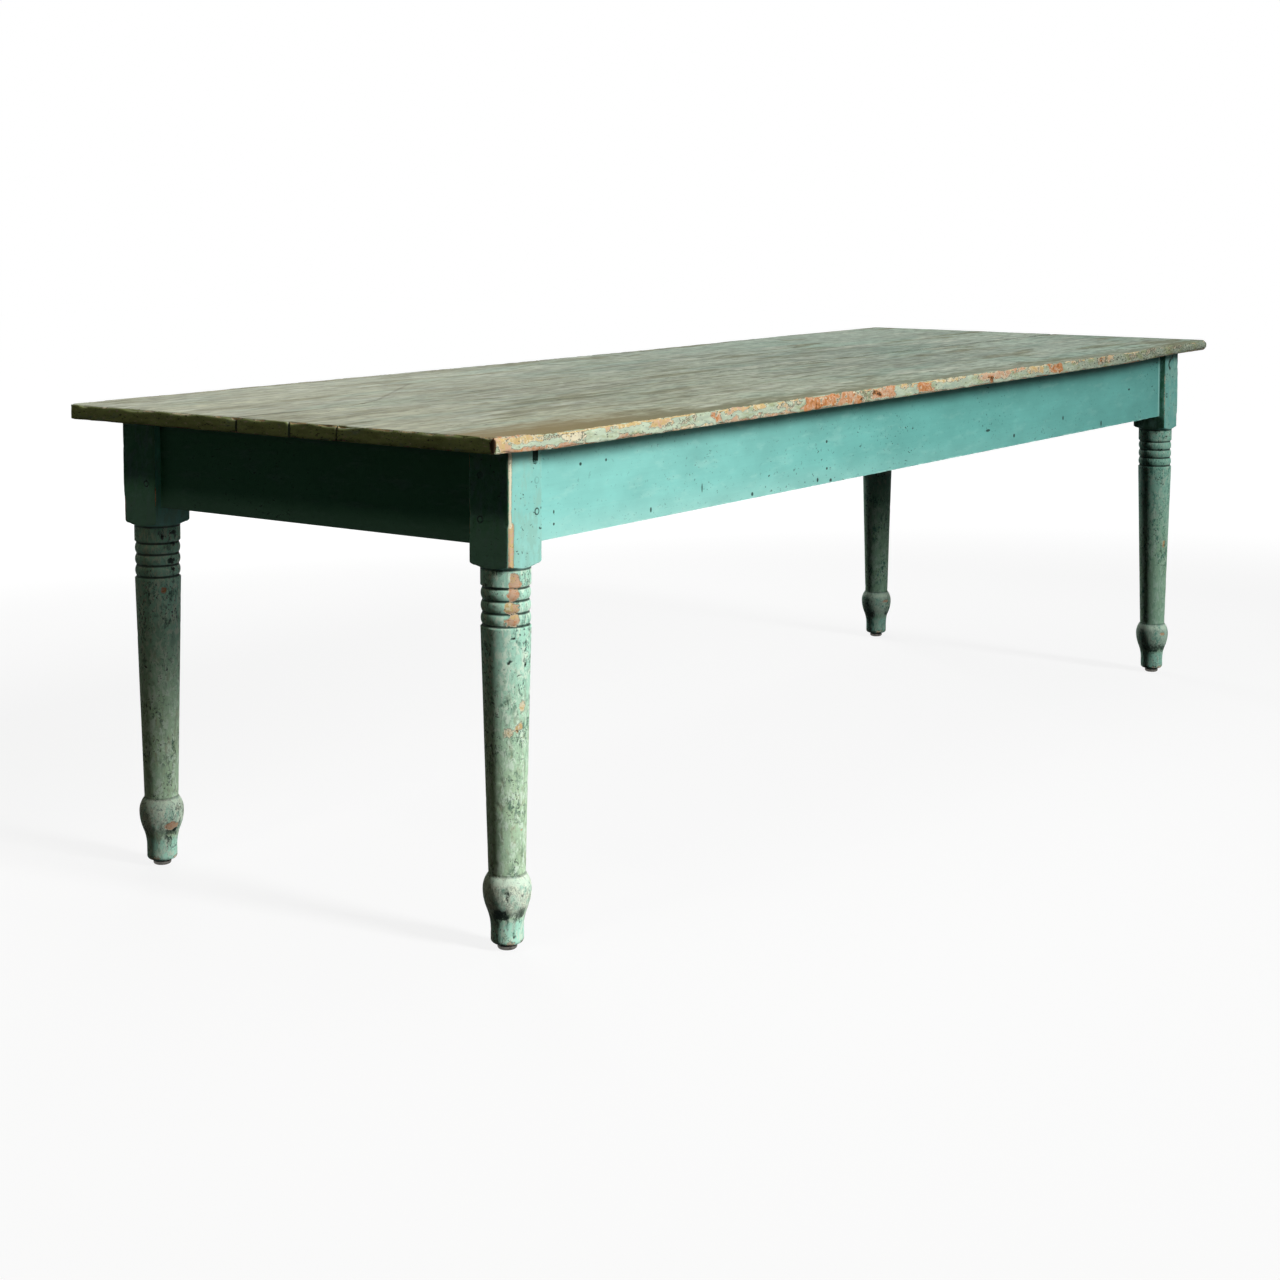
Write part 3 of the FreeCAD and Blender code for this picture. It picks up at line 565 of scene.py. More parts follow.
def frame_paint():
    """Sea-green paint of the frame, clean on the square faces and grimy on the turned legs, with painted
    shade under the top, beside the leg blocks, on faces turned to the left end and towards the far right end.
    """
    finish = new_finish("old_frame_paint")
    noise = finish.noise
    x, y, z = finish.axes()
    # Faces turned to the left end, which the paint below darkens as painted shade
    shaded_left_faces = finish.facing()[0].step(-0.6, -0.85)
    fine = noise(0.0036, 3.0, 0.6)
    cloudy = noise((0.1, 0.1, 0.055), 3.0, 0.55, shift=2.2)
    brush = noise((0.16, 0.16, 0.0035), 3.0, 0.6, shift=7.0)
    smear = noise((0.06, 0.06, 0.018), 4.0, 0.65, shift=3.3)
    rubbed = noise((0.014, 0.014, 0.03), 4.0, 0.65, shift=35.0)
    crowded = noise(0.16, 2.0, shift=27.0).step(0.45, 0.62)
    nick = noise((0.012, 0.012, 0.007), 1.0, shift=15.0, warp=0.6).step(0.72, 0.75) * crowded
    speck = noise((0.0055, 0.0055, 0.0045), 1.0, shift=18.0).step(0.695, 0.735)
    chip = noise((0.03, 0.03, 0.006), 3.0, shift=21.0).step(0.48, 0.6)
    # Painted shadow of the top on the upper part of the aprons and blocks, deeper towards the right
    painted_shadow_under_top = z.step(BLOCK_TOP - 80 * MM, BLOCK_TOP - 8 * MM) * x.step(-1.0, 0.8)
    # Paler towards the foot of the aprons and towards the left end
    paler_near_foot = z.step(APRON_FOOT + 50 * MM, APRON_FOOT - 6 * MM) * x.step(0.9, -0.9)
    on_leg = abs(x).step(LEG_INNER_X - 1 * MM, LEG_INNER_X) * abs(y).step(LEG_INNER_Y - 1 * MM, LEG_INNER_Y)
    turned = z.step(SHOULDER + 3 * MM, SHOULDER - 2 * MM)
    leg, mottle = turned_paint(finish, x, z)
    front = y.step(-HALF_WIDTH + 60 * MM, -HALF_WIDTH + 55 * MM)
    spots = [spot(x, z, place) for place in SCARS]
    hook = [stroke(x, z, start, stop, HOOK_HALF_WIDTH, HOOK_FADE)
            for start, stop in zip(HOOK_SCAR, HOOK_SCAR[1:])]
    scars = strongest(spots + hook)
    rings = peg_marks(x, y, z)
    foot = abs(z - APRON_FOOT).step(3.4 * MM, 1.2 * MM)
    # A dark line on the aprons beside the leg blocks: painted shade in the recess where the blocks stand
    # proud, deeper towards the right
    recess_shade = abs(x).step(LEG_INNER_X - 4 * MM, LEG_INNER_X - 1.2 * MM) * (1 - on_leg)
    # A dark band just under the top: painted contact shadow, lighter on the leg blocks
    contact_shade_under_top = z.step(BLOCK_TOP - 24 * MM, BLOCK_TOP - 14 * MM) * (1 - on_leg * 0.6)
    end_line = abs(x).step(LEG_INNER_X - 11 * MM, LEG_INNER_X - 9 * MM)
    end_line = end_line * abs(x).step(LEG_INNER_X - 5 * MM, LEG_INNER_X - 6.5 * MM)
    dust = z.step(BLOCK_TOP - 30 * MM, BLOCK_TOP) * (0.2 + cloudy * 0.5) * x.step(0.9, -0.7)
    # Dark knocks and nicks, with the painted shade inside the slot, from the mesh's dark mark
    knocks_and_shade = finish.mark("dirt_and_shade") + (fine - 0.5) * 1.7 + (rubbed - 0.5) * 0.8
    colour = finish.coats(MINT, (
        # painted shade: the frame darkens towards the far right end
        (MINT_SHADED_FAR, x.step(-1.15, 0.15)),
        # painted shade: faces turned to the left end are darker and greener, and the right block's left face
        # darker still
        (MINT_SHADED_END, shaded_left_faces * 0.9),
        (NICK_AND_SHADE, shaded_left_faces * x.step(0.9, 1.1) * 0.55),
        (SHADE, 1 - painted_shadow_under_top * 0.34),
        (SHADE, 0.76 + cloudy * 0.48),
        (SHADE, 0.95 + brush * 0.1),
        (MINT_PALE, smear.step(0.52, 0.7) * (0.12 + x.step(0.4, -0.9) * 0.14)),
        (MINT_PALE, paler_near_foot * (0.15 + cloudy * 0.5)),
        (MINT_GREY, on_leg * (0.2 + rubbed.step(0.45, 0.62) * 0.55)),
        (leg, turned),
        (NICK_AND_SHADE, nick.higher(speck * (0.26 + crowded * 0.45)) * 0.8),
        (NICK_AND_SHADE, scars * front * 0.9),
        (NICK_AND_SHADE, rings * 0.85),
        (MINT_PALE, foot * (1 - on_leg) * chip * 0.7),
        (NICK_AND_SHADE, recess_shade * (0.5 + x.step(0.0, 0.8) * 0.4)),
        (NICK_AND_SHADE, contact_shade_under_top * 0.4),
        (MINT_PALE, end_line * (0.3 + x.step(-1.0, 1.0) * 0.45)),
        (LEG_DARK, dust * 0.3),
        (NICK_AND_SHADE, knocks_and_shade.step(0.36, 0.8) * 0.95),
    ))
    colour, primer, bare = worn(finish, colour, fine, 0.55)
    rough = 0.5 + cloudy * 0.12 + turned * 0.1 + bare * 0.15
    height = brush * 0.25 + mottle * turned * 0.9 + fine * 0.2 - nick * 0.5 - primer * 0.5 - bare * 0.4
    height = height - rings * 0.6 - scars * front * 0.5
    return finish.surface(colour, rough, height, 0.5 * MM, specular=0.05)


def bare_wood():
    """Unpainted pine and oak of the hidden pieces."""
    finish = new_finish("bare_pine")
    grain = finish.noise((0.16, 0.004, 0.004), 3.0, 0.6)
    pores = finish.noise((0.02, 0.0009, 0.0009), 2.0, shift=5.0)
    colour = finish.blend(RAW_PINE, RAW_DARK, grain.step(0.35, 0.7) * 0.8)
    colour = finish.blend(colour, UMBER, pores.step(0.58, 0.72) * 0.4)
    return finish.surface(colour, 0.72 + pores * 0.12, grain * 0.6 + pores * 0.4, 0.3 * MM, specular=0.1)


def metal(name, colour, stain, rough):
    """A small pressed or turned metal piece, dulled by handling."""
    finish = new_finish(name)
    spots = finish.noise(0.004, 3.0, 0.6)
    scratch = finish.noise((0.012, 0.0008, 0.004), 2.0, shift=3.0)
    shown = finish.blend(colour, stain, spots.step(0.48, 0.7) * 0.6)
    return finish.surface(shown, rough + spots * 0.2, scratch, 0.05 * MM, metallic=1.0 - spots * 0.3)


def rubber():
    """The dark cushion ring of each glide."""
    finish = new_finish("aged_rubber")
    dust = finish.noise(0.006, 3.0, 0.6)
    colour = finish.blend(RUBBER, RUBBER_DUST, dust.step(0.48, 0.7) * 0.5)
    return finish.surface(colour, 0.7 + dust * 0.15, dust, 0.12 * MM, specular=0.25)


FINISHES = {
    "top_paint": top_paint(),
    "frame_paint": frame_paint(),
    "bare_wood": bare_wood(),
    "nickel": metal("dulled_nickel", NICKEL, NICKEL_STAIN, 0.48),
    "rubber": rubber(),
    "steel": metal("dark_steel", STEEL, STEEL_RUST, 0.38),
}


def spaced(start, stop, pitch):
    """Even places from start to stop, about a pitch apart."""
    count = max(1, round(abs(stop - start) / pitch))
    return np.linspace(start, stop, count + 1)


# Mesh lines of the boards: in from an outer edge, in from a seam, and shares of the thickness
EDGE_LINES = np.array((0, 0.7, 1.5, 2.6, 4, 5.8, 8, 11, 14.5, 18, 22, 27, 33, 40)) * MM
SEAM_LINES = np.array((0, 0.5, 1.2, 3, 7)) * MM
LAYER_SHARES = np.array((0, 0.04, 0.1, 0.18, 0.28, 0.38, 0.48, 0.58, 0.68, 0.78, 0.87, 0.94, 0.98, 1))
ARRIS = 2.0 * MM

# The crack in the front board: its line across the table at two places along it
CRACK_START = (-HALF_LENGTH, -143 * MM)
CRACK_END = (-540 * MM, -162 * MM)
CRACK_MIDDLE = (CRACK_START[1] + CRACK_END[1]) / 2
CRACK_LINES = np.array((-12, -6, -3, -1.6, -0.6, 0, 0.6, 1.6, 3, 6, 12)) * MM

# Paint lost along the front edge, left to right: start and end along the table, lowest and
# highest line on the unrolled edge, tone of what shows, and how complete the loss is. Places are
# in millimetres. The unrolled edge runs from 0 at the foot to 24 at the upper arris, and on over
# the top. Lines below 0 are under the board.
FRONT_EDGE_LOSS = (
    (-1304, -1268, -2, 26, 0.42, 1.0), (-1290, -1215, 25, 34, 0.62, 0.75), (-1280, -1140, 14, 26, 0.22, 0.95),
    (-1280, -1110, -2, 8, 0.55, 1.0), (-1138, -1102, 10, 25, 0.02, 0.85), (-1102, -1094, 1, 24, 0.00, 0.95),
    (-1048, -1026, 12, 25, 0.4, 0.95), (-1022, -953, 15, 26, 0.18, 0.95), (-1022, -937, -2, 6, 0.5, 0.9),
    (-924, -876, 8, 25, 0.35, 0.95), (-908, -893, 1, 14, 0.45, 0.9), (-884, -768, -2, 5, 0.1, 0.95),
    (-865, -800, 8, 20, 0.12, 0.62), (-763, -729, 4, 23, 0.62, 1.0), (-718, -662, 14, 27, 0.42, 1.0),
    (-724, -522, -2, 7, 0.52, 0.9), (-640, -600, 12, 25, 0.25, 0.85), (-575, -505, 10, 24, 0.3, 0.66),
    (-500, -372, 0, 26, 0.7, 1.0), (-368, -170, 1, 28, 0.62, 0.9), (-300, -235, 8, 22, 0.95, 0.8),
    (-150, -110, 14, 27, 0.25, 0.8), (-89, -32, 4, 25, 0.7, 1.0), (-16, 100, 17, 27, 0.12, 0.95),
    (-60, 130, -2, 6, 0.5, 0.7), (147, 287, 6, 27, 0.5, 0.95), (180, 215, 2, 12, 0.9, 0.8),
    (300, 350, 15, 26, 0.6, 0.85), (360, 432, 7, 26, 0.25, 0.85), (452, 520, 3, 24, 0.7, 1.0),
    (560, 640, 16, 27, 0.45, 0.8), (690, 770, 4, 24, 0.84, 0.62), (740, 783, 12, 26, 0.4, 0.75),
    (850, 900, 6, 24, 0.92, 0.6), (930, 1010, 12, 27, 0.6, 0.66), (1040, 1150, 14, 27, 0.92, 0.54),
)


def crack_line(x):
    """Where the crack runs across the front board, with its small jogs."""
    share = (x - CRACK_START[0]) / (CRACK_END[0] - CRACK_START[0])
    jog = cloud(np.stack((x, 0 * x, 0 * x), 1), 0.016, seed=31, octaves=3) - 0.5
    return CRACK_START[1] + share * (CRACK_END[1] - CRACK_START[1]) + jog * 5 * MM


def crack_depth(x):
    """How open the crack is along its length, from 0 to 1."""
    at_end = step(x, -HALF_LENGTH + 190 * MM, -HALF_LENGTH)
    along = step(x, -990 * MM, -920 * MM) * step(x, -530 * MM, -600 * MM)
    return np.maximum(at_end, 0.6 * along)


def board_lines(name, low, high):
    """Places of the mesh lines along, across and through a board."""
    near, far = (3.2 * MM, 5.5 * MM) if name == "front" else (6.5 * MM, 9 * MM)
    inner = EDGE_LINES[-1]
    xs = np.concatenate((low.x + EDGE_LINES, spaced(low.x + inner, 0, near)[1:],
                         spaced(0, high.x - inner, far)[1:], (high.x - EDGE_LINES)[::-1][1:]))
    start = EDGE_LINES if name == "front" else SEAM_LINES
    finish = EDGE_LINES if name == "back" else SEAM_LINES
    ys = np.concatenate((low.y + start, spaced(low.y + start[-1], high.y - finish[-1], 16 * MM)[1:-1],
                         (high.y - finish)[::-1]))
    if name == "front":
        ys = ys[np.abs(ys - CRACK_MIDDLE) > 16 * MM]
        ys = np.sort(np.concatenate((ys, CRACK_MIDDLE + CRACK_LINES)))
    zs = low.z + LAYER_SHARES * (high.z - low.z)
    return xs, ys, zs


def box_surface(xs, ys, zs):
    """Corners and outward four-sided faces of a closed box with the given mesh lines."""
    shell = np.zeros((len(xs), len(ys), len(zs)), bool)
    for axis in range(3):
        for end in (0, -1):
            shell[(slice(None),) * axis + (end,)] = True
    index = np.full(shell.shape, -1)
    index[shell] = np.arange(shell.sum())
    grid = np.stack(np.meshgrid(xs, ys, zs, indexing="ij"), -1)
    faces = []
    for side, flip in ((index[:, :, -1], False), (index[:, :, 0], True), (index[-1], False),
                       (index[0], True), (index[:, 0], False), (index[:, -1], True)):
        quads = np.stack((side[:-1, :-1], side[1:, :-1], side[1:, 1:], side[:-1, 1:]), -1).reshape(-1, 4)
        faces.append(quads[:, ::-1] if flip else quads)
    return grid[shell], np.concatenate(faces)


def plan_radius(points):
    """Radius of the plan corner that each point is nearest to."""
    front = (points[:, 1] < 0).astype(int)
    right = (points[:, 0] >= 0).astype(int)
    return PLAN_CORNERS[front, right]


def round_plan(points):
    """Draws the square grid round the plan corners of the top."""
    radius = plan_radius(points)
    past = np.stack((np.abs(points[:, 0]) - (HALF_LENGTH - radius),
                     np.abs(points[:, 1]) - (HALF_WIDTH - radius)), 1)
    corner = past.min(1) > 0
    share = past[corner].max(1) / np.hypot(past[corner, 0], past[corner, 1])
    for axis in (0, 1):
        kept = np.abs(points[corner, axis]) - past[corner, axis]
        points[corner, axis] = np.sign(points[corner, axis]) * (kept + past[corner, axis] * share)
    return points


def outer_reach(points, name):
    """How far each point lies inside the outer edge of the top, and the way out from there."""
    radius = plan_radius(points)
    past_x = np.abs(points[:, 0]) - (HALF_LENGTH - radius)
    outward = {"front": -1, "middle": 0, "back": 1}[name]
    past_y = outward * points[:, 1] - (HALF_WIDTH - radius) if outward else np.full(len(points), -1.0)
    out_x = np.maximum(past_x, 0)
    out_y = np.maximum(past_y, 0)
    reach = np.hypot(out_x, out_y)
    inset = radius - reach - np.minimum(np.maximum(past_x, past_y), 0)
    by_end = past_x >= past_y
    round_corner = (past_x > 0) & (past_y > 0)
    safe = np.maximum(reach, 1e-9)
    way_x = np.where(round_corner, out_x / safe, by_end) * np.sign(points[:, 0])
    way_y = np.where(round_corner, out_y / safe, ~by_end) * outward
    return np.maximum(inset, 0), np.stack((way_x, way_y), 1)


def round_arrises(flat, low, high, name):
    """The square box with its long and short outer arrises softened."""
    front = ARRIS if name == "front" else 0
    back = ARRIS if name == "back" else 0
    core = np.stack((np.clip(flat[:, 0], low.x + ARRIS, high.x - ARRIS),
                     np.clip(flat[:, 1], low.y + front, high.y - back),
                     np.clip(flat[:, 2], low.z + ARRIS, high.z - ARRIS)), 1)
    away = flat - core
    span = np.linalg.norm(away, axis=1)
    return core + away * (np.abs(away).max(1) / np.maximum(span, 1e-9))[:, None]


def front_edge_loss(flat, on_front, unrolled, tone):
    """Paint lost along the front edge, the tone of what shows there, and how far the wood is bitten."""
    loss = np.zeros(len(flat))
    bite = np.zeros(len(flat))
    drift = (cloud(flat, (0.03, 0.03, 0.012), seed=10, octaves=4) - 0.5) * 62
    lift = (cloud(flat, (0.018, 0.018, 0.012), seed=11, octaves=4) - 0.5) * 18
    along_edge = flat[:, 0] / MM + drift
    over_edge = unrolled + lift
    mixed = 0.56 + 1.1 * (cloud(flat, 0.014, seed=12, octaves=3) - 0.42)
    for start, stop, lowest, highest, shown, share in FRONT_EDGE_LOSS:
        along = between(along_edge, start, stop, 7)
        across = between(over_edge, lowest, highest, 3)
        here = on_front * along * across * share
        tone = np.where(here > 0.3, shown, tone)
        loss = np.maximum(loss, here * mixed)
        bite = np.maximum(bite, on_front * along * share * step(highest, 20, 24))
    return loss, tone, bite


def open_crack(points, flat, low, on_top):
    """Draws the points along the front board's crack and opens it. Gives where it shows dark."""
    off_crack = np.abs(flat[:, 1] - CRACK_MIDDLE)
    near = step(off_crack, 130 * MM, 10 * MM)
    shift = crack_line(flat[:, 0]) - CRACK_MIDDLE
    opened = crack_depth(flat[:, 0])
    valley = step(off_crack, 1.8 * MM, 0.3 * MM)
    end_face = (flat[:, 0] - low.x < 3 * MM) & ~on_top
    jag = (cloud(flat * (0, 0, 1), 0.006, seed=33, octaves=2) - 0.5) * 9 * MM
    points[:, 1] += near * np.where(end_face, shift + jag, shift * on_top)
    points[:, 2] -= on_top * valley * opened * 3.2 * MM
    points[:, 0] += end_face * valley * 5 * MM
    return step(off_crack, 2.4 * MM, 0.6 * MM) * np.maximum(on_top * opened, end_face)


def shape_board(name):
    """One board of the top: rounded plan corners, bitten arrises, a crack and slight waves."""
    node = f"top_board_{name}"
    low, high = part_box(node)
    flat, faces = box_surface(*board_lines(name, low, high))
    x = flat[:, 0]
    y = flat[:, 1]
    thickness = high.z - low.z
    rise = flat[:, 2] - low.z
    points = round_plan(round_arrises(flat, low, high, name))
    inset, way = outer_reach(points, name)
    side = inset < 0.3 * MM
    unrolled = np.where(side, rise, np.where(rise > thickness / 2, thickness + inset, -inset)) / MM

    edge_place = points * (1, 1, 0)
    ragged = cloud(edge_place, 0.02, seed=3, octaves=4)
    long_wave = cloud(edge_place, 0.12, seed=5, octaves=2)
    from_top = np.hypot(inset, thickness - rise) / MM
    from_foot = np.hypot(inset, rise) / MM
    loss = np.zeros(len(points))
    tone = 0.35 + 0.7 * (cloud(edge_place, 0.05, seed=8, octaves=2) - 0.5)
    bite = np.zeros(len(points))
    if name == "front":
        on_front = (way[:, 1] < -0.5) & (inset < 45 * MM)
        loss, tone, bite = front_edge_loss(flat, on_front, unrolled, tone)
    near_half = step(x, 0.1, -0.4) * (name == "front")
    far_part = step(x, 0.75, 1.05) * (name == "front")
    worn_line = ragged + 0.25 * (long_wave - 0.5) + 0.08 * near_half - 0.22 * far_part
    arris = step(from_top, 4.5, 0.8) * step(worn_line, 0.47, 0.6)
    foot_arris = step(from_foot, 3.5, 0.5) * step(ragged, 0.48, 0.62)
    tone = np.where((loss < 0.3) & (arris > 0.2), 0.06 + 0.5 * (long_wave - 0.3), tone)
    tone = np.where((loss < 0.3) & (foot_arris > 0.2), 0.68, tone)
    loss = np.maximum(loss, np.maximum(arris * 0.64, foot_arris * 0.56))

    right_corner = (step(x, HALF_LENGTH - 70 * MM, HALF_LENGTH - 10 * MM)
                    * step(y, -HALF_WIDTH + 60 * MM, -HALF_WIDTH + 10 * MM))
    scoop = step(ragged, 0.44, 0.72) * 2.8 * MM * (0.4 + 0.9 * bite + 0.4 * long_wave)
    scoop = scoop * (1 - 0.9 * right_corner)
    notch = step(cloud(edge_place, 0.007, seed=6, octaves=2), 0.56, 0.76) * 1.7 * MM
    notch = notch * (1 + step(np.abs(way[:, 0]), 0.3, 0.9) * 0.4)
    notch = notch * (1 - 0.7 * right_corner)
    blunt = 3.0 * MM * step(x, 0.85, 1.25) + 1.0 * MM * right_corner
    pull = (scoop + notch) * np.exp(-(from_top / 3.4) ** 2) + blunt * np.exp(-(from_top / 6) ** 2)
    foot_pull = (scoop * 0.5 + notch * 0.8) * np.exp(-(from_foot / 2.6) ** 2)
    foot_pull = foot_pull + blunt * np.exp(-(from_foot / 6) ** 2)
    wobble = (cloud(flat, (0.04, 0.04, 0.01), seed=14, octaves=3) - 1.0) * 1.1 * MM
    sideways = -(pull + foot_pull) * 0.8 + wobble * step(inset, 12 * MM, 0)
    from_seams = {"front": high.y - y, "back": y - low.y}
    seam_gap = from_seams.get(name, np.minimum(*from_seams.values()))
    near_end = step(inset, 5 * MM, 0) * np.abs(way[:, 0])
    sideways = sideways - near_end * (step(seam_gap, 1.2 * MM, 0) * 1.0 * MM + END_STEPS[name])
    points[:, :2] += way * sideways[:, None]
    points[:, 2] += foot_pull * 0.7 - pull * 0.8
    if name == "front":
        reach = np.where(rise > thickness / 2, DROOP_REACH, FOOT_DROOP_REACH)
        overhang = step(y, low.y + reach, low.y)
        points[:, 2] -= DROOP * overhang * (step(x, -1.3, -1.14) * step(x, 1.15, 0.8))

    on_top = rise > thickness * 0.9
    swell = cloud(edge_place, (0.45, 0.07, 1.0), seed=17, octaves=2) - 1.0
    dip = cloud(edge_place, (0.06, 0.014, 1.0), seed=19, octaves=2) - 1.0
    sag = SAG * step(np.abs(x), HALF_LENGTH, 0) * step(y, 0, HALF_WIDTH)
    points[:, 2] += on_top * (swell * 0.6 * MM + dip * 0.35 * MM - sag)
    points[:, 2] -= on_top * step(seam_gap, 2.2 * MM, 0) * 0.8 * MM

    dirt_and_shade = np.zeros(len(points))
    if name == "front":
        # The crack is painted dark where it opens: painted shade in the gap, with dirt
        dirt_and_shade = open_crack(points, flat, low, on_top)
        off = np.hypot((y - low.y - 5 * MM) / (6 * MM), (rise - 12 * MM) / (11 * MM))
        corner_spot = step(off, 1.3, 0.8) * (x < low.x + 2.5 * MM)
        loss = np.maximum(loss, corner_spot * 0.9)
        tone = np.where(corner_spot > 0.3, 1.1, tone)

    marks = {"loss": loss, "tone": tone, "dirt_and_shade": dirt_and_shade}
    make_piece(node, points, faces.tolist(), marks, "top_paint")


def turned_profile(node):
    """Heights and radii of a leg's turned part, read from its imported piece."""
    low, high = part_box(node)
    centre = (low + high) / 2
    corners = np.array([corner.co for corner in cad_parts[node].data.vertices])
    radii = np.hypot(corners[:, 0] - centre.x, corners[:, 1] - centre.y)
    outer = radii > NAIL_HOLE
    heights = np.round(corners[outer, 2], 4)
    radii = radii[outer]
    levels = np.unique(heights[heights < SHOULDER + 8 * MM])
    return levels, np.array([radii[heights == level].max() for level in levels]), centre


# Marks on the legs by corner: azimuth in degrees, height, half width and half height in
# millimetres, tone of the bare wood or None for a dark nick, and strength
LEG_MARKS = {
    "front_left": (
        (-121, 548, 7, 9, 0.45, 1.0), (-119, 540, 11, 6, 0.5, 1.0), (-123, 524, 10, 10, 0.5, 1.0),
        (-126, 506, 12, 9, 0.45, 1.0), (-133, 508, 6, 6, 0.2, 0.9), (-124, 487, 12, 9, 0.55, 1.0),
        (-118, 492, 6, 4, 0.3, 0.9), (-124, 463, 4, 2.5, None, 1.0), (-133, 430, 5, 2, None, 1.0),
        (-136, 427, 3, 2, None, 1.0), (-90, 421, 2.5, 4, None, 1.0), (-96, 395, 2, 4, None, 0.9),
        (-102, 333, 5, 6, 0.22, 0.74), (-112, 331, 4, 7, 0.3, 0.7), (-135, 326, 8, 11, 0.05, 0.66),
        (-98, 362, 8, 10, 0.1, 0.66), (-93, 180, 3, 3, 0.4, 0.8), (-140, 88, 4, 12, None, 0.62),
        (-104, 86, 6, 4, None, 0.56), (-160, 57, 12, 8, None, 0.95), (-116, 26, 3.0, 7, None, 0.62),
    ),
    "front_right": (
        (-118, 545, 5, 7, None, 0.8), (-140, 516, 6, 4, None, 0.8), (-110, 300, 5, 9, 0.3, 0.8),
        (-120, 92, 10, 4, 0.4, 0.8), (20, 410, 6, 9, 0.5, 0.9), (60, 85, 10, 6, 0.4, 0.9),
    ),
    "back_right": (
        (-110, 92, 10, 4, 0.5, 0.8), (40, 500, 8, 7, 0.5, 0.9), (60, 330, 6, 10, 0.4, 0.8),
    ),
    "back_left": (
        (-90, 551, 6, 5, None, 1.0), (-88, 533, 5, 4, None, 1.0), (-94, 505, 8, 6, None, 1.0),
        (-90, 491, 6, 4, None, 0.9), (-119, 459, 5, 6, 0.6, 0.8), (-104, 69, 12, 7, 0.55, 1.0),
        (-90, 62, 6, 5, None, 1.0), (-120, 545, 5, 6, None, 0.8), (100, 520, 8, 6, 0.45, 0.9),
    ),
}
# Bare strips up the arrises of the leg blocks by corner: azimuth of the arris, lowest and highest
# end, half width, tone and strength
BARE_ARRISES = {
    "front_left": ((-131.5, 558 * MM, 634 * MM, 7.0 * MM, 0.42, 0.9),
                   (-133.5, 626 * MM, 745 * MM, 3.8 * MM, -0.15, 0.68)),
    "front_right": ((-45, 562 * MM, 600 * MM, 4.6 * MM, 0.55, 0.85),),
    "back_left": ((135, 562 * MM, 612 * MM, 4.6 * MM, 0.5, 0.85),),
    "back_right": ((45, 580 * MM, 640 * MM, 4.6 * MM, 0.5, 0.85),),
}


def block_outline(corner):
    """Places round a leg's square block: angle, radius and the way along the square."""
    half = BLOCK_HALF - 0.25 * MM
    even = np.linspace(-1, 1, 33)
    along = half * (0.5 * even + 0.5 * np.sin(even * math.pi / 2))
    angles = []
    for quarter in range(4):
        places = along
        if corner == "front_left" and quarter == 3:
            centre_x = (NEAR_LEG[0].x + NEAR_LEG[1].x) / 2
            sides = [side - centre_x for side in SLOT_SIDES]
            extra = [side + gap * MM for side in sides for gap in (-0.7, -0.35, 0.05, 0.35, 0.7)]
            extra.extend(np.linspace(*sides, 9)[1:-1])
            places = np.sort(np.concatenate((places, extra)))
        facing = quarter * math.pi / 2
        angles.append(facing + np.arctan2(places[:-1], half))
    angles = np.concatenate(angles)
    nearest = (angles + math.pi / 4) % (math.pi / 2) - math.pi / 4
    radii = half / np.cos(nearest)
    rounding = 1.4 * MM
    reach = half * math.sqrt(2) - rounding * (math.sqrt(2) - 1)
    return angles, np.minimum(radii, reach), nearest


def leg_heights(corner, levels, low, high):
    """Heights of the rings of points up a leg."""
    pitch = 3 * MM if corner == "front_left" else 6 * MM
    bottom, crown = low.z, high.z
    even = spaced(bottom, crown, pitch)
    rings = np.concatenate((levels, even, spaced(SHOULDER, SHOULDER + 9 * MM, 1 * MM)))
    if corner == "front_left":
        rings = np.concatenate((rings, SLOT_FOOT + np.array((-0.3, 0, 0.4, 1.0, 2.0, 3.4, 6.0)) * MM))
    rings = np.unique(np.round(rings, 5))
    keep = np.concatenate(((True,), np.diff(rings) > 0.28 * MM))
    return rings[keep]


def round_from(degrees, azimuth):
    """Degrees round a leg from an azimuth, from -180 to 180."""
    return (degrees - azimuth + 180) % 360 - 180


def leg_faces(rings, count, foot_pole):
    """Four-sided faces between the rings of points, and triangles that close the foot and the crown."""
    column = np.arange(count)
    after = (column + 1) % count
    faces = []
    for base in range(0, (rings - 1) * count, count):
        quads = np.stack((base + column, base + after, base + count + after, base + count + column), 1)
        faces.extend(quads.tolist())
    crown_ring = (rings - 1) * count
    faces.extend([foot_pole, int(b), int(a)] for a, b in zip(column, after))
    faces.extend([foot_pole + 1, int(crown_ring + a), int(crown_ring + b)] for a, b in zip(column, after))
    return faces


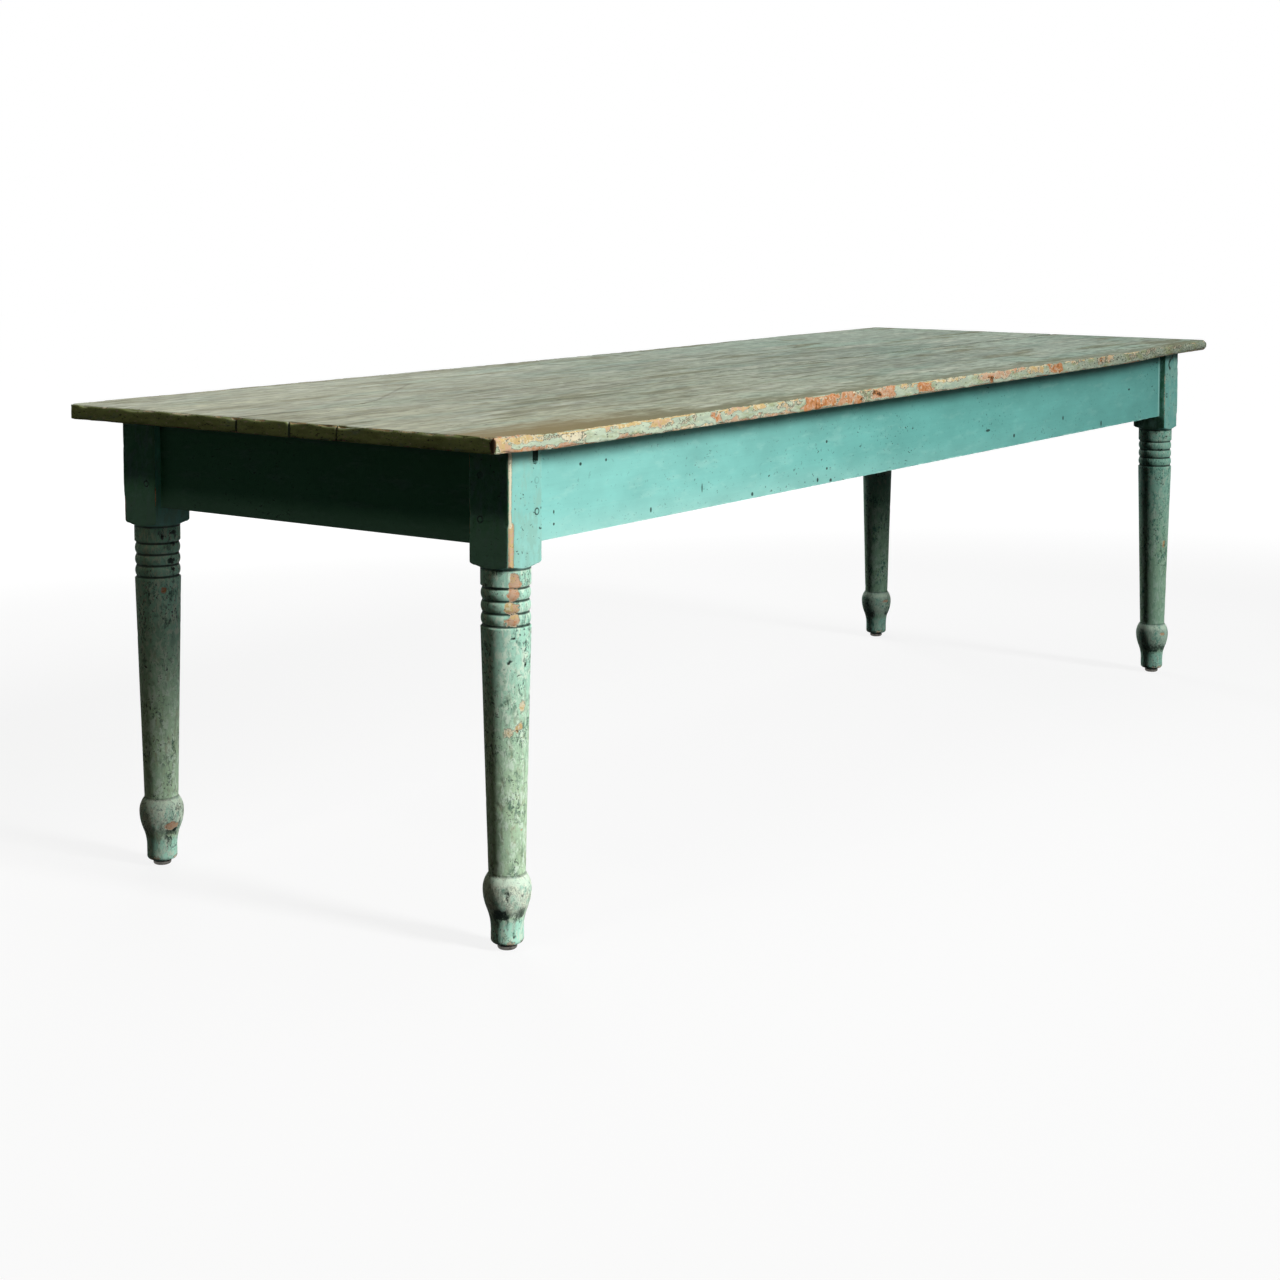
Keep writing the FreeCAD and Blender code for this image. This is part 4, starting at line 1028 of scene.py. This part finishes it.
def shape_leg(corner):
    """A turned leg with its square block, its knocks, lost paint and open slot."""
    node = f"leg_{corner}"
    low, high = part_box(node)
    levels, radii, centre = turned_profile(node)
    angles, square, nearest = block_outline(corner)
    rings = leg_heights(corner, levels, low, high)
    turned = np.interp(rings, levels, radii - 0.05 * MM, right=1.0)
    count = len(angles)

    radius = np.minimum(turned[:, None], square[None, :]).ravel()
    height = np.repeat(rings, count)
    angle = np.tile(angles, len(rings))
    flat = np.stack((centre.x + radius * np.cos(angle), centre.y + radius * np.sin(angle), height), 1)
    degrees = np.degrees(angle)
    on_block = height > SHOULDER + 3 * MM

    seed = CORNERS.index(corner)
    loss = np.zeros(len(flat))
    dirt_and_shade = np.zeros(len(flat))
    tone = 0.35 + 0.9 * (cloud(flat, 0.03, seed=seed + 2, octaves=2) - 0.5)
    dent = np.zeros(len(flat))
    for azimuth, level, half_width, half_height, shown, strength in LEG_MARKS[corner]:
        around = np.radians(round_from(degrees, azimuth)) * radius / MM
        off = np.hypot(around / half_width, (height / MM - level) / half_height)
        off = off + (cloud(flat, 0.006, seed=seed + 21, octaves=2) - 0.5) * 1.1
        here = step(off, 1.35, 0.55) * strength
        if shown is None:
            dirt_and_shade = np.maximum(dirt_and_shade, here)
        else:
            tone = np.where(here > 0.25, shown, tone)
            loss = np.maximum(loss, here * 0.85)
        dent = np.maximum(dent, here * 0.7 * MM)

    from_arris = (math.pi / 4 - np.abs(np.tile(nearest, len(rings)))) * BLOCK_HALF * 2
    streaks = cloud(flat, (0.02, 0.02, 0.035), seed=seed + 5, octaves=3)
    rub = on_block * step(from_arris, 3.2 * MM, 0.4 * MM) * step(streaks, 0.42, 0.66)
    tone = np.where(rub > 0.2, 0.05 + 0.5 * (cloud(flat, 0.02, seed=seed + 7) - 0.3), tone)
    loss = np.maximum(loss, rub * (0.48 if corner == "front_right" else 0.66))
    for azimuth, foot, crown, half_width, shown, strength in BARE_ARRISES[corner]:
        width = np.radians(np.abs(round_from(degrees, azimuth))) * BLOCK_HALF * 2
        wander = (streaks - 0.5) * 6.0 * MM
        strip = on_block * step(width + wander, half_width + 2.6 * MM, half_width - 2.6 * MM)
        strip = strip * step(height, foot - 4 * MM, foot) * step(height, crown, crown - 8 * MM)
        tone = np.where(strip > 0.3, shown, tone)
        loss = np.maximum(loss, strip * strength)
        dent = np.maximum(dent, strip * half_width * 0.28)
    toe = step(height, 26 * MM, 12 * MM) * step(cloud(flat, 0.012, seed=seed + 9, octaves=2), 0.48, 0.66)
    loss = np.maximum(loss, toe * 0.52)
    tone = np.where(toe > 0.3, 0.0, tone)

    knocks = cloud(flat, 0.011, seed=seed + 13, octaves=2)
    dent = np.maximum(dent, step(knocks, 0.66, 0.85) * 0.7 * MM)
    arris_dent = on_block * step(from_arris, 3.0 * MM, 0) * step(streaks, 0.45, 0.8) * 1.1 * MM
    waves = (1 - cloud(flat, (0.05, 0.05, 0.09), seed=seed + 15)) * 0.35 * MM
    shrink = 1 - (dent + arris_dent + waves * (~on_block)) / np.maximum(radius, 1 * MM)
    axis = np.array(centre.xy)
    points = flat.copy()
    points[:, :2] = axis + (flat[:, :2] - axis) * shrink[:, None]

    if corner == "front_left":
        middle = sum(SLOT_SIDES) / 2
        half = (SLOT_SIDES[1] - SLOT_SIDES[0]) / 2
        bend = np.minimum(height - (SLOT_FOOT + half), 0)
        from_slot = np.hypot(flat[:, 0] - middle, bend)
        on_face = flat[:, 1] < centre.y - BLOCK_HALF + 1 * MM
        points[(from_slot < half + 0.1 * MM) & on_face, 1] += SLOT_DEPTH
        # The inside of the open slot is painted black: painted shade in the deep, narrow slot
        blackened = (from_slot < half + 0.4 * MM) & on_face
        loss[blackened] = 0
        dirt_and_shade[blackened] = 1

    faces = leg_faces(len(rings), count, len(points))
    poles = np.array(((centre.x, centre.y, rings[0]), (centre.x, centre.y, rings[-1])))
    points = np.concatenate((points, poles))
    marks = {"loss": np.append(loss, (0, 0)), "tone": np.append(tone, (0.5, 0.5)),
             "dirt_and_shade": np.append(dirt_and_shade, (0, 0))}
    make_piece(node, points, faces, marks, "frame_paint")


def dress(node, finish):
    """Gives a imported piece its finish, with its shape left as it is."""
    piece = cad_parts[node]
    if not piece.material_slots:
        piece.data.materials.append(FINISHES[finish])
    for slot in piece.material_slots:
        slot.material = FINISHES[finish]


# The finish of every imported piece: the stem of its name, its places and the finish
DRESSED = (
    ("top_board", TOP_BOARDS, "top_paint"),
    ("leg", CORNERS, "frame_paint"),
    ("pegs", CORNERS, "frame_paint"),
    ("apron", SIDES, "frame_paint"),
    ("glue_blocks", SIDES, "bare_wood"),
    ("cross_brace", BRACES, "bare_wood"),
    ("dowels", JOINTS, "bare_wood"),
    ("brace_screws", BRACES, "steel"),
    ("glide_base", CORNERS, "nickel"),
    ("glide_cushion", CORNERS, "rubber"),
    ("glide_nail", CORNERS, "steel"),
)

for board in TOP_BOARDS:
    shape_board(board)
for corner in CORNERS:
    shape_leg(corner)
for stem, places, finish in DRESSED:
    for place in places:
        dress(f"{stem}_{place}", finish)


# The studio: half width of the floor and how far it lies under the glides, in metres, how bright
# it shows near the table, and where that turns to full white
FLOOR_REACH = 14.0
FLOOR_DROP = 0.2 * MM
FLOOR_GLOW = 0.86
FLOOR_WHITE = (2.2, 4.0)
AMBIENT = 0.003
WARM_LAMP = (1.0, 0.93, 0.7)


def make_floor():
    """A wide pale floor that shows white and keeps the table's shadow."""
    rows = np.linspace(-FLOOR_REACH, FLOOR_REACH, 9)
    points = [(x, y, TABLE_LOW.z - FLOOR_DROP) for x in rows for y in rows]
    count = len(rows)
    faces = [(i * count + j, (i + 1) * count + j, (i + 1) * count + j + 1, i * count + j + 1)
             for i in range(count - 1) for j in range(count - 1)]
    mesh = bpy.data.meshes.new("studio_floor")
    mesh.from_pydata(points, [], faces)
    finish = new_finish("studio_floor")
    x, y, _ = finish.axes()
    distance = distance_to(x, y, (0.0, 0.0))
    glow = (FLOOR_GLOW + distance.step(*FLOOR_WHITE) * (1 - FLOOR_GLOW)) * finish.seen()
    matt = finish.node("ShaderNodeBsdfDiffuse", {}, {"Color": finish.shade(WHITE, glow * 0.15 + 0.012)})
    light = finish.node("ShaderNodeEmission", {}, {"Color": WHITE, "Strength": glow})
    both = finish.node("ShaderNodeAddShader", {}, {0: matt, 1: light})
    finish.node("ShaderNodeOutputMaterial", {}, {"Surface": both})
    mesh.materials.append(finish.owner)
    put("studio_floor", mesh)


def make_world():
    """White where it is seen, and a weak even light on the table."""
    finish = Finish(bpy.data.worlds.new("studio"))
    strength = finish.seen().higher(AMBIENT)
    light = finish.node("ShaderNodeBackground", {}, {"Color": WHITE, "Strength": strength})
    finish.node("ShaderNodeOutputWorld", {}, {"Surface": light})
    bpy.context.scene.world = finish.owner


def aim(thing, place, target):
    thing.location = place
    thing.rotation_euler = (Vector(target) - Vector(place)).to_track_quat("-Z", "Y").to_euler()


def make_light(name, place, target, width, height, level, spread=180, colour=WHITE):
    """A soft lamp. A white face square to it at the target renders at the given level."""
    lamp = bpy.data.lights.new(name, "AREA")
    lamp.shape = "RECTANGLE"
    lamp.size = width
    lamp.size_y = height
    lamp.color = colour
    lamp.spread = math.radians(spread)
    distance = (Vector(target) - Vector(place)).length
    half = lamp.spread / 2
    gathered = 1.0 if spread == 180 else math.tan(half) / (math.tan(half) - half)
    lamp.energy = level * math.pi ** 2 * distance ** 2 / gathered
    shown = put(name, lamp)
    aim(shown, place, target)
    shown.visible_camera = False


# The photograph's camera, solved from the table's own corners and edges
IMAGE_WIDTH = 1280
FOCAL_PIXELS = 2268.2
SENSOR = 36.0
CAMERA_PLACE = Vector((-3.7056, -2.3955, 1.0947))
CAMERA_YAW = 0.61855
CAMERA_PITCH = 0.07209
CAMERA_SHIFT = -0.22


def make_camera():
    camera = bpy.data.cameras.new("camera")
    camera.sensor_width = SENSOR
    camera.lens = FOCAL_PIXELS / IMAGE_WIDTH * SENSOR
    camera.shift_y = CAMERA_SHIFT
    shown = put("camera", camera)
    ahead = Vector((math.cos(CAMERA_YAW) * math.cos(CAMERA_PITCH),
                    math.sin(CAMERA_YAW) * math.cos(CAMERA_PITCH), -math.sin(CAMERA_PITCH)))
    aim(shown, CAMERA_PLACE, CAMERA_PLACE + ahead)
    bpy.context.scene.camera = shown


make_floor()
make_world()
make_light("key_light", (-0.1, -16.0, 9.0), (-1.5, -0.4, 0.6), 3.2, 7.4, 1.93, spread=32)
make_light("low_fill", (0.9, -7.0, 1.0), (-1.4, -0.2, 0.4), 2.0, 1.0, 0.13, spread=50)
make_light("overhead_light", (0.7, 0.1, 3.3), (0.7, 0.0, 0.76), 3.0, 2.4, 0.42)
make_light("end_light", (-4.3, 0.1, 4.7), (-1.3, 0.0, 0.72), 0.5, 0.5, 0.06, colour=WARM_LAMP)
make_light("back_fill", (2.4, 3.6, 1.8), (0.4, 0.3, 0.5), 1.8, 1.4, 0.35)
make_camera()

bpy.context.scene.view_settings.view_transform = "Standard"
